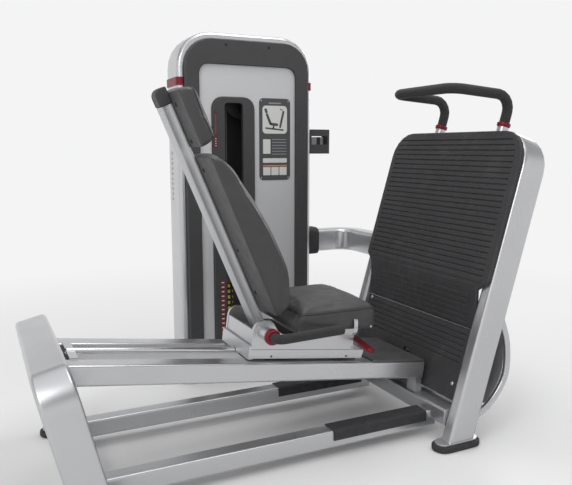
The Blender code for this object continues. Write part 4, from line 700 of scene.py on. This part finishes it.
def swollen(piece):
    """Fills the cover: cloth under pressure, held at its flat back and kept near its start."""
    held = piece.vertex_groups.new(name="held")
    held.add([v.index for v in piece.data.vertices if v.co.x < HELD_BELOW], 1.0, "REPLACE")
    start = [v.co.copy() for v in piece.data.vertices]
    cloth = piece.modifiers.new("cloth", "CLOTH")
    for key, value in CLOTH.items():
        setattr(cloth.settings, key, value)
    cloth.settings.effector_weights.gravity = 0
    cloth.collision_settings.use_collision = False
    cloth.point_cache.frame_start = 1
    cloth.point_cache.frame_end = SIM_FRAMES
    scene = bpy.context.scene
    for moment in range(1, SIM_FRAMES + 1):
        scene.frame_set(moment)
    graph = bpy.context.evaluated_depsgraph_get()
    moved = [v.co.copy() for v in piece.evaluated_get(graph).data.vertices]
    piece.modifiers.remove(cloth)
    for vertex, old, new in zip(piece.data.vertices, start, moved):
        step = new - old
        if step.length > SWELL_CAP:
            step *= SWELL_CAP / step.length
        vertex.co = old + step
    scene.frame_set(1)


def smoothed(mesh, fuller):
    """Evens the cover's front, fills it out and returns a tree of its surface."""
    shape = bmesh.new()
    shape.from_mesh(mesh)
    for _ in range(SMOOTH_TURNS):
        bmesh.ops.smooth_vert(
            shape, verts=[v for v in shape.verts if v.co.x > SMOOTH_ABOVE], factor=0.5,
            use_axis_x=True, use_axis_y=True, use_axis_z=True,
        )
    for vertex in shape.verts:
        vertex.co.x *= fuller(vertex.co.z)
    bmesh.ops.recalc_face_normals(shape, faces=shape.faces)
    shape.to_mesh(mesh)
    tree = BVHTree.FromBMesh(shape)
    shape.free()
    return tree


def seam_path(length, width, centre, depth_at, tree):
    """Points of a seam: an outline in short steps, pressed onto the cushion's surface."""
    outline = rounded_outline(width + SEAM_OUTSET, length + SEAM_OUTSET, SEAM_CORNER, 8)
    points = [(y, centre + z) for y, z in outline]
    path = []
    for (y0, z0), (y1, z1) in zip(points, points[1:] + points[:1]):
        count = max(1, int(math.hypot(y1 - y0, z1 - z0) / SEAM_STEP))
        for step in range(count):
            y = y0 + (y1 - y0) * step / count
            z = z0 + (z1 - z0) * step / count
            path.append(tree.find_nearest(Vector((depth_at(z), y, z)))[0])
    return path


def grooved(mesh, path):
    """Draws the cover in along a seam."""
    count = len(path)
    lines = [(i, (i + 1) % count, i) for i in range(count)]
    tree = BVHTree.FromPolygons([tuple(point) for point in path], lines)
    normals = [v.normal.copy() for v in mesh.vertices]
    for vertex, normal in zip(mesh.vertices, normals):
        distance = tree.find_nearest(vertex.co)[3]
        if distance < 3 * SEAM_WIDTH:
            vertex.co -= normal * SEAM_DEPTH * math.exp(-((distance / SEAM_WIDTH) ** 2))


def cushion(name, place, axes, length, width, centre, depth_at, seam_at, fuller=lambda z: 1.0):
    """A stuffed vinyl pad over its solid: filled cover, drawn seam and piping along the seam."""
    shape = local_copy(name, place)
    shape.transform(axes)
    for vertex in shape.verts:
        if vertex.co.x > FRONT_FROM:
            vertex.co.x -= SHRINK
        vertex.co.y *= 1 - SHRINK / (width / 2)
        vertex.co.z = centre + (vertex.co.z - centre) * (1 - SHRINK / (length / 2))
    piece = placed("vinyl_" + name, shape)
    piece.data.remesh_voxel_size = VOXEL
    with bpy.context.temp_override(object=piece, active_object=piece, selected_objects=[piece]):
        bpy.ops.object.voxel_remesh()
    mesh = piece.data
    swollen(piece)
    tree = smoothed(mesh, fuller)
    path = seam_path(length, width, centre, lambda z: depth_at(z) * fuller(z) * seam_at, tree)
    grooved(mesh, path)
    back = place @ axes.inverted()
    mesh.transform(back)
    mesh.materials.clear()
    mesh.materials.append(VINYL)
    for face in mesh.polygons:
        face.use_smooth = True
    refine(piece)
    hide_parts(name)
    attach(piece, "carriage")
    cord = bmesh.new()
    add_tube(cord, [back @ point for point in path], PIPING_RADIUS, PIPING_SIDES, closed=True)
    new_piece("piping_" + name, cord, PIPING, "carriage")


# Depth of the back pad: lower edge, fullest place, upper edge
PAD_LOW = 0.030
PAD_LENGTH = 0.570
FULLEST_SHARE = 0.34
LOW_DEPTH = 0.080
FULL_DEPTH = 0.120
TOP_DEPTH = 0.042

# Extra stuffing of the back pad: along its top edge, and at the small of the back
SHOULDER_SWELL = 0.019
SHOULDER_FROM = 0.44
SHOULDER_SPAN = 0.14
LUMBAR_SWELL = 0.009
LUMBAR_PLACE = 0.145
LUMBAR_WIDTH = 0.055


def clamped(share):
    return min(1.0, max(0.0, share))


def back_depth(place):
    share = clamped((place - PAD_LOW) / PAD_LENGTH)
    if share < FULLEST_SHARE:
        rise = math.sin(share / FULLEST_SHARE * math.pi / 2)
        return LOW_DEPTH + (FULL_DEPTH - LOW_DEPTH) * rise
    fall = ((share - FULLEST_SHARE) / (1 - FULLEST_SHARE)) ** 2
    return TOP_DEPTH + (FULL_DEPTH - TOP_DEPTH) * (1 - fall)


def back_fill(place):
    share = clamped((place - SHOULDER_FROM) / SHOULDER_SPAN)
    rise = SHOULDER_SWELL * share * share * (3 - 2 * share)
    rise += LUMBAR_SWELL * math.exp(-(((place - LUMBAR_PLACE) / LUMBAR_WIDTH) ** 2))
    return 1.0 + rise / back_depth(place)


def head_depth(place):
    return 0.070


def seat_depth(place):
    return 0.098 - place * math.tan(math.radians(SEAT_TILT))


cushion(
    "back_pad", BACK, UPRIGHT, length=PAD_LENGTH, width=0.385, centre=0.315,
    depth_at=back_depth, seam_at=0.84, fuller=back_fill,
)
cushion(
    "head_pad", BACK, UPRIGHT, length=0.192, width=0.300, centre=0.722,
    depth_at=head_depth, seam_at=0.82,
)
cushion(
    "seat_pad", SEAT, LAID, length=0.3138, width=0.390, centre=0.0,
    depth_at=seat_depth, seam_at=0.80,
)


# Wire ropes: straight cords in place of the cable solids

ROPE_RADIUS = 0.003
ROPE_SIDES = 12
ROPE_STEPS = 60
RAIL_PULLEY_END = Vector((0.5392, -0.2015, 0.1683))
TROLLEY_END = Vector((0.0168, -0.2015, 0.2385))
TOP_PULLEY_END = Vector((0.0633, 0.5135, 1.2362))
HEAD_PLATE_END = Vector((0.0633, 0.5135, 0.4844))


def rope(name, node, start, end):
    shape = bmesh.new()
    path = [start.lerp(end, step / ROPE_STEPS) for step in range(ROPE_STEPS + 1)]
    add_tube(shape, path, ROPE_RADIUS, ROPE_SIDES)
    piece = new_piece(name, shape, CABLE, None)
    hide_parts(node)
    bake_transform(piece)


rope("press_rope", "press_cable", RAIL_PULLEY_END, TROLLEY_END)
rope("lift_rope", "lift_cable", TOP_PULLEY_END, HEAD_PLATE_END)


# Tower front: placard, scale, strip and numbers

PANEL_FACE = 0.4252
BEZEL_FACE = 0.4122
STACK_FACE = 0.4635
SHROUD_FACE = 0.4112
PRINT_THICK = 0.0003
STROKE_THICK = 0.0002
PLACARD_THICK = 0.0018
PRINT_FACE = PANEL_FACE - PLACARD_THICK
PLACARD_X = 0.262
PLACARD_Z = 1.0775
BLOCK_PITCH = 0.040
BLOCK_WIDTH = 0.036
SCALE_X = 0.0015
STRIP_X = -0.0215

# Line drawing of a seat, a back rest, a rail and a foot plate: two (x, z) ends and a thickness
STROKES = (
    ((-0.044, 1.128), (0.040, 1.120), 0.0070),
    ((-0.018, 1.146), (0.010, 1.143), 0.0120),
    ((-0.022, 1.148), (-0.038, 1.186), 0.0120),
    ((-0.041, 1.198), (-0.045, 1.208), 0.0120),
    ((0.026, 1.134), (0.042, 1.200), 0.0100),
    ((-0.006, 1.136), (-0.008, 1.126), 0.0080),
    ((0.036, 1.208), (0.028, 1.212), 0.0050),
)

WEIGHTS = 14
STACK_LOW = 0.0729
WEIGHT_PITCH = 0.0258
NUMBER_X = 0.066
NUMBER_SIZE = 0.013
NUMBER_RAISE = 0.00015
NUMBER_GAP = 0.0001
TICK_X = 0.0485


def sign(name, items, material, y):
    """Flat printed shapes on the tower: (x, z, width, height, radius) each, in row coordinates."""
    shape = bmesh.new()
    for x, z, width, height, radius in items:
        outline = rounded_outline(width, height, radius, 4)
        add_plate(shape, outline, 0.0, PRINT_THICK, upright(x, y, z))
    new_piece(name, shape, material, "machine")


def placard():
    shape = bmesh.new()
    place = upright(PLACARD_X, PANEL_FACE, PLACARD_Z)
    add_plate(shape, rounded_outline(0.152, 0.361, 0.020), 0.0, PLACARD_THICK, place)
    new_piece("placard", shape, INK_DARK, "machine", bevel=0.0006)


def pictogram():
    shape = bmesh.new()
    for (x0, z0), (x1, z1), thick in STROKES:
        length = math.hypot(x1 - x0, z1 - z0) + thick
        tilt = Matrix.Rotation(math.atan2(z1 - z0, x1 - x0), 4, "Z")
        middle = upright(PLACARD_X + (x0 + x1) / 2, PRINT_FACE - PRINT_THICK, (z0 + z1) / 2)
        outline = rounded_outline(length, thick, thick * 0.45, 4)
        add_plate(shape, outline, 0.0, STROKE_THICK, middle @ tilt)
    new_piece("placard_drawing", shape, INK_DARK, "machine")


def plate_numbers():
    """A plain number and a short tick on the front edge of each weight."""
    shape = bmesh.new()
    for i in range(WEIGHTS):
        z = STACK_LOW + WEIGHT_PITCH * (i + 0.5)
        line = bpy.data.curves.new("digits", "FONT")
        line.body = str(WEIGHTS - i)
        line.size = NUMBER_SIZE
        line.align_x = "CENTER"
        line.align_y = "CENTER"
        line.extrude = NUMBER_RAISE
        holder = bpy.data.objects.new("digits", line)
        bpy.context.scene.collection.objects.link(holder)
        graph = bpy.context.evaluated_depsgraph_get()
        mesh = bpy.data.meshes.new_from_object(holder.evaluated_get(graph))
        mesh.transform(upright(NUMBER_X, STACK_FACE - NUMBER_GAP, z))
        shape.from_mesh(mesh)
        tick = rounded_outline(0.011, 0.015, 0.002, 3)
        add_plate(shape, tick, 0.0, PRINT_THICK, upright(TICK_X, STACK_FACE, z))
        bpy.data.objects.remove(holder)
        bpy.data.meshes.remove(mesh)
    new_piece("weight_numbers", shape, INK_YELLOW, "machine")


placard()
window = [(PLACARD_X, 1.165, 0.120, 0.122, 0.016)]
sign("placard_window", window, INK_PALE, PRINT_FACE)
bars = [(PLACARD_X + 0.022, 1.078 - 0.013 * i, 0.072, 0.0032, 0.0012) for i in range(6)]
bars.append((PLACARD_X, 1.237, 0.060, 0.006, 0.002))
sign("placard_bars", bars, INK_GREY, PRINT_FACE)
fields = [(PLACARD_X, 0.985, 0.118, 0.020, 0.003)]
for column in (-1, 0, 1):
    fields.append((PLACARD_X + BLOCK_PITCH * column, 0.9375, BLOCK_WIDTH, BLOCK_WIDTH, 0.002))
sign("placard_fields", fields, INK_PALE, PRINT_FACE)
rule = [(PLACARD_X, 0.9615, 0.118, 0.006, 0.001)]
sign("placard_rule", rule, INK_AMBER, PRINT_FACE)
block = [(PLACARD_X - BLOCK_PITCH, 1.047, BLOCK_WIDTH, 0.064, 0.003)]
sign("placard_block", block, INK_PALE, PRINT_FACE)
pictogram()
corners = [(x, z) for x in (-0.066, 0.066) for z in (-0.169, 0.169)]
screws(
    "placard_screws",
    [((PLACARD_X + x, PRINT_FACE, PLACARD_Z + z), TOWARDS_USER) for x, z in corners],
    radius=0.0030, height=0.0012, material=ZINC, body="machine",
)

scale = [(SCALE_X, 0.326, 0.017, 0.272, 0.003)]
sign("setting_scale", scale, INK_RED, BEZEL_FACE)
marks = [(SCALE_X, 0.204 + 0.0205 * i, 0.0125, 0.0050, 0.001) for i in range(13)]
sign("setting_marks", marks, INK_PALE, BEZEL_FACE - PRINT_THICK)
strip = [(STRIP_X, 1.118, 0.019, 0.156, 0.004)]
sign("upper_strip", strip, INK_MAROON, BEZEL_FACE)
slit = [(STRIP_X, 1.140, 0.008, 0.086, 0.003)]
sign("upper_strip_window", slit, INK_DARK, BEZEL_FACE - PRINT_THICK)
dots = [(STRIP_X, 1.050 + 0.010 * i, 0.006, 0.003, 0.001) for i in range(4)]
sign("upper_strip_marks", dots, INK_PALE, BEZEL_FACE - PRINT_THICK)
plate_numbers()
screws(
    "shroud_screws",
    [((x, SHROUD_FACE, 1.473), TOWARDS_USER) for x in (0.030, 0.229)],
    radius=0.0055, height=0.0022, material=BLACK_FIXING, body="machine",
)


# Foot plates: bright strip in the split, ribs above it and screws of the lower plate

PLATE_FACE = -0.0288
SPLIT_HEIGHT = 0.4108
SPLIT_GAP = 0.0034
SPLIT_SINK = 0.004
SPLIT_RISE = 0.0022
NECK_WIDTH = 0.660
NECK_LOW = 0.412
NECK_LENGTH = 0.141
NECK_RECESS = 0.042
NECK_RIBS = 6
FIRST_RIB = 0.6
RIB_PITCH = 0.0205
RIB_LENGTH = 0.600
# Height above the bend and length of each rib of the upright band
BAND_RIBS = ((0.0108, 0.638), (0.0313, 0.694))
RIB_PROFILE = ((-0.0085, -0.001), (0.0085, -0.001), (0.0070, 0.0022), (-0.0035, 0.0022))
PLATE_SCREWS = ((-0.296, 0.204), (0.296, 0.204), (0.312, 0.398))
OUT_OF_PLATE = FOOT.to_3x3() @ Vector((-1, 0, 0))
FACE_OUT = Matrix.Rotation(math.radians(-90), 4, "Y")


def split_strip():
    shape = bmesh.new()
    place = FOOT @ Matrix.Translation((PLATE_FACE, 0, SPLIT_HEIGHT)) @ FACE_OUT
    outline = rounded_outline(SPLIT_GAP, NECK_WIDTH, 0.0010, 3)
    add_plate(shape, outline, -SPLIT_SINK, SPLIT_RISE, place)
    new_piece("split_strip", shape, ZINC, "machine")


def add_rib(shape, spot, up, out, length):
    axes = Matrix.Translation(spot) @ Matrix((up, out, (0, -1, 0))).transposed().to_4x4()
    add_plate(shape, RIB_PROFILE, -length / 2, length / 2, FOOT @ axes)


def neck_ribs():
    """Ribs across the upper plate's neck, which leans back from the bend down to the split."""
    shape = bmesh.new()
    lean = math.atan2(NECK_RECESS, NECK_LENGTH)
    up = Vector((-math.sin(lean), 0, math.cos(lean)))
    out = Vector((-math.cos(lean), 0, -math.sin(lean)))
    for i in range(NECK_RIBS):
        spot = Vector((PLATE_FACE, 0, NECK_LOW)) + up * RIB_PITCH * (i + FIRST_RIB)
        add_rib(shape, spot, up, out, RIB_LENGTH)
    bend = Vector((PLATE_FACE - NECK_RECESS, 0, NECK_LOW + NECK_LENGTH))
    for height, length in BAND_RIBS:
        add_rib(shape, bend + Vector((0, 0, height)), (0, 0, 1), (-1, 0, 0), length)
    new_piece("neck_ribs", shape, MAT, "machine", bevel=0.0005)


split_strip()
neck_ribs()
screws(
    "plate_screws",
    [(FOOT @ Vector((PLATE_FACE, y, z)), OUT_OF_PLATE) for y, z in PLATE_SCREWS],
    radius=0.0075, height=0.004, material=ZINC, body="machine",
)


# Screws of the pads and the seat's clip

PAD_BACK = 0.0015
PAD_SCREWS = [(y, z) for y in (-0.055, 0.055) for z in (0.100, 0.262, 0.552, 0.650, 0.772)]
BEHIND_PAD = BACK.to_3x3() @ Vector((-1, 0, 0))
CLIP_X = 0.061
CLIP_NEAR = -0.1965
CLIP_THICK = 0.0025
CLIP_HALF = 0.0075
# Height and outward place of the clip's strap, from the pad down onto the frame
CLIP_PROFILE = (
    (0.040, 0.002), (0.030, -0.003), (0.012, -0.0042),
    (-0.004, -0.003), (-0.016, 0.004), (-0.020, 0.014),
)
SEAT_SCREWS = ((CLIP_X, -0.2035, 0.012), (0.127, -0.1945, 0.010))


def seat_clip():
    """Bent bright strap on the near side of the seat."""
    shape = bmesh.new()
    section = (
        (-CLIP_HALF, 0), (CLIP_HALF, 0), (CLIP_HALF, CLIP_THICK), (-CLIP_HALF, CLIP_THICK),
    )
    rows = []
    for z, y in CLIP_PROFILE:
        inner = CLIP_NEAR + y - CLIP_THICK
        corners = [SEAT @ Vector((CLIP_X + x, inner + out, z)) for x, out in section]
        rows.append([shape.verts.new(corner) for corner in corners])
    skin(shape, rows)
    refine(new_piece("seat_clip", shape, ZINC, "carriage", bevel=0.0005))


screws(
    "back_pad_screws",
    [(BACK @ Vector((PAD_BACK, y, z)), BEHIND_PAD) for y, z in PAD_SCREWS],
    radius=0.0075, height=0.0045, material=BLACK_FIXING, body="carriage",
)
seat_clip()
screws(
    "seat_screws",
    [(SEAT @ Vector(point), TOWARDS_USER) for point in SEAT_SCREWS],
    radius=0.0042, height=0.0022, material=ZINC, body="carriage",
)


# Tower sides: raised ribs on the left, lining of the accessory holder on the right

SIDE_RIBS = 10
SIDE_RIB_LOW = Vector((-0.1777, 0.556, 0.820))
SIDE_RIB_PITCH = 0.022
SIDE_RIB_SINK = 0.001
SIDE_RIB_RISE = 0.0030
HOLDER_WALL = 0.007
LINING_HEIGHT = 0.044
LINING_THICK = 0.0015
CLAMP_OFFSET = 0.020
CLAMP_THICK = 0.004


def side_ribs():
    shape = bmesh.new()
    for i in range(SIDE_RIBS):
        spot = SIDE_RIB_LOW + Vector((0, 0, SIDE_RIB_PITCH * i))
        outline = rounded_outline(0.013, 0.034, 0.006, 4)
        place = Matrix.Translation(spot) @ FACE_OUT
        add_plate(shape, outline, -SIDE_RIB_SINK, SIDE_RIB_RISE, place)
    new_piece("side_ribs", shape, SILVER, "machine", bevel=0.0012)


def holder_liner():
    """Grey lining inside the holder's rear wall, and the clamp upright that stands on it."""
    low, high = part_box("accessory_holder")
    middle = (low + high) / 2
    wall = high.y - HOLDER_WALL
    shape = bmesh.new()
    outline = rounded_outline(0.092, LINING_HEIGHT, 0.004, 4)
    add_plate(shape, outline, 0.0, LINING_THICK, upright(middle.x, wall, middle.z))
    new_piece("holder_lining", shape, GREY_SHEET, "machine", bevel=0.0005)
    shape = bmesh.new()
    outline = rounded_outline(0.018, LINING_HEIGHT, 0.003, 4)
    clamp = upright(middle.x + CLAMP_OFFSET, wall - LINING_THICK, middle.z)
    add_plate(shape, outline, 0.0, CLAMP_THICK, clamp)
    new_piece("holder_clamp", shape, PLASTIC, "machine", bevel=0.0008)


side_ribs()
holder_liner()


# Camera, floor and light

CAMERA_PLACE = (0.0, -2.045, 1.04)
CAMERA_DOWN = 8.29
CAMERA_PAN = 25.7
IMAGE_WIDTH = 572
FOCAL_PIXELS = 648
SENSOR = 36.0
CLIP_START = 0.01

BACKDROP = 0.905
FLOOR_SHADE = 0.76
FLOOR_SIZE = 30.0
FLOOR_ROUGHNESS = 0.55
FLOOR_SPECULAR = 0.25
FADE_CENTRE = (0.1, -0.5, 0.0)
FADE_FROM = 0.9
FADE_TO = 4.2

# Height of a direction and the light from it: pale horizon, dim ring, broad light overhead
WORLD_STOPS = (
    (0.0, BACKDROP), (0.32, BACKDROP), (0.46, 0.34), (0.60, 0.30), (0.76, 0.95), (1.0, 1.0),
)
WORLD_BLUE = 1.01

# Name, place, target, size and power
LAMPS = (
    ("key", (-2.6, -2.2, 2.9), (0.0, -0.1, 0.5), (1.8, 1.8), 42),
    ("top", (0.4, 0.0, 3.2), (0.0, 0.0, 0.4), (2.2, 1.4), 26),
    ("rim", (2.6, 1.2, 2.0), (0.2, 0.0, 0.6), (0.8, 1.8), 16),
)


def camera():
    data = bpy.data.cameras.new("photo_camera")
    data.sensor_width = SENSOR
    data.lens = SENSOR * FOCAL_PIXELS / IMAGE_WIDTH
    data.clip_start = CLIP_START
    made = bpy.data.objects.new("photo_camera", data)
    made.location = SHIFT @ Vector(CAMERA_PLACE)
    made.rotation_euler = (math.radians(90 - CAMERA_DOWN), 0.0, math.radians(-CAMERA_PAN))
    bpy.context.scene.collection.objects.link(made)
    bpy.context.scene.camera = made


def combined(tree, operation, first, second):
    """A math node over two outputs."""
    made = tree.nodes.new("ShaderNodeMath")
    made.operation = operation
    tree.links.new(first, made.inputs[0])
    tree.links.new(second, made.inputs[1])
    return made.outputs[0]


def seen_directly(tree):
    """1 where a camera, mirror or glass ray arrives."""
    path = tree.nodes.new("ShaderNodeLightPath").outputs
    first = combined(tree, "MAXIMUM", path["Is Camera Ray"], path["Is Glossy Ray"])
    return combined(tree, "MAXIMUM", first, path["Is Transmission Ray"])


def floor():
    """A pale floor that keeps the shadow and melts into the backdrop a few metres out."""
    shape = bmesh.new()
    bmesh.ops.create_grid(shape, x_segments=4, y_segments=4, size=FLOOR_SIZE)
    made = placed("studio_floor", shape)
    material = bpy.data.materials.new("studio_floor")
    material.use_nodes = True
    tree = material.node_tree
    shader = tree.nodes["Principled BSDF"]
    shader.inputs["Base Color"].default_value = (FLOOR_SHADE, FLOOR_SHADE, FLOOR_SHADE, 1)
    shader.inputs["Roughness"].default_value = FLOOR_ROUGHNESS
    shader.inputs["Specular IOR Level"].default_value = FLOOR_SPECULAR
    glow = tree.nodes.new("ShaderNodeEmission")
    glow.inputs["Color"].default_value = (BACKDROP, BACKDROP, BACKDROP, 1)
    place = tree.nodes.new("ShaderNodeNewGeometry")
    away = tree.nodes.new("ShaderNodeVectorMath")
    away.operation = "DISTANCE"
    away.inputs[1].default_value = FADE_CENTRE
    tree.links.new(place.outputs["Position"], away.inputs[0])
    fade = tree.nodes.new("ShaderNodeMapRange")
    fade.interpolation_type = "SMOOTHSTEP"
    fade.inputs["From Min"].default_value = FADE_FROM
    fade.inputs["From Max"].default_value = FADE_TO
    tree.links.new(away.outputs["Value"], fade.inputs["Value"])
    faded = combined(tree, "MULTIPLY", fade.outputs["Result"], seen_directly(tree))
    mix = tree.nodes.new("ShaderNodeMixShader")
    tree.links.new(faded, mix.inputs["Fac"])
    tree.links.new(shader.outputs["BSDF"], mix.inputs[1])
    tree.links.new(glow.outputs["Emission"], mix.inputs[2])
    tree.links.new(mix.outputs["Shader"], tree.nodes["Material Output"].inputs["Surface"])
    made.data.materials.append(material)


def world():
    made = bpy.data.worlds.new("studio")
    bpy.context.scene.world = made
    made.use_nodes = True
    tree = made.node_tree
    background = tree.nodes["Background"]
    way = tree.nodes.new("ShaderNodeTexCoord").outputs["Generated"]
    parts = tree.nodes.new("ShaderNodeSeparateXYZ")
    tree.links.new(way, parts.inputs["Vector"])
    ramp = tree.nodes.new("ShaderNodeValToRGB")
    while len(ramp.color_ramp.elements) < len(WORLD_STOPS):
        ramp.color_ramp.elements.new(0.5)
    for element, (place, level) in zip(ramp.color_ramp.elements, WORLD_STOPS):
        element.position = place
        element.color = (level, level, level * WORLD_BLUE, 1)
    tree.links.new(parts.outputs["Z"], ramp.inputs["Fac"])
    tree.links.new(ramp.outputs["Color"], background.inputs["Color"])
    background.inputs["Strength"].default_value = 1.0


def lamp(name, place, target, size, power):
    data = bpy.data.lights.new(name, "AREA")
    data.shape = "RECTANGLE"
    data.size, data.size_y = size
    data.energy = power
    made = bpy.data.objects.new(name, data)
    made.location = place
    made.rotation_euler = (Vector(target) - Vector(place)).to_track_quat("-Z", "Y").to_euler()
    bpy.context.scene.collection.objects.link(made)


camera()
floor()
world()
for settings in LAMPS:
    lamp(*settings)

bpy.context.scene.view_settings.view_transform = "Standard"
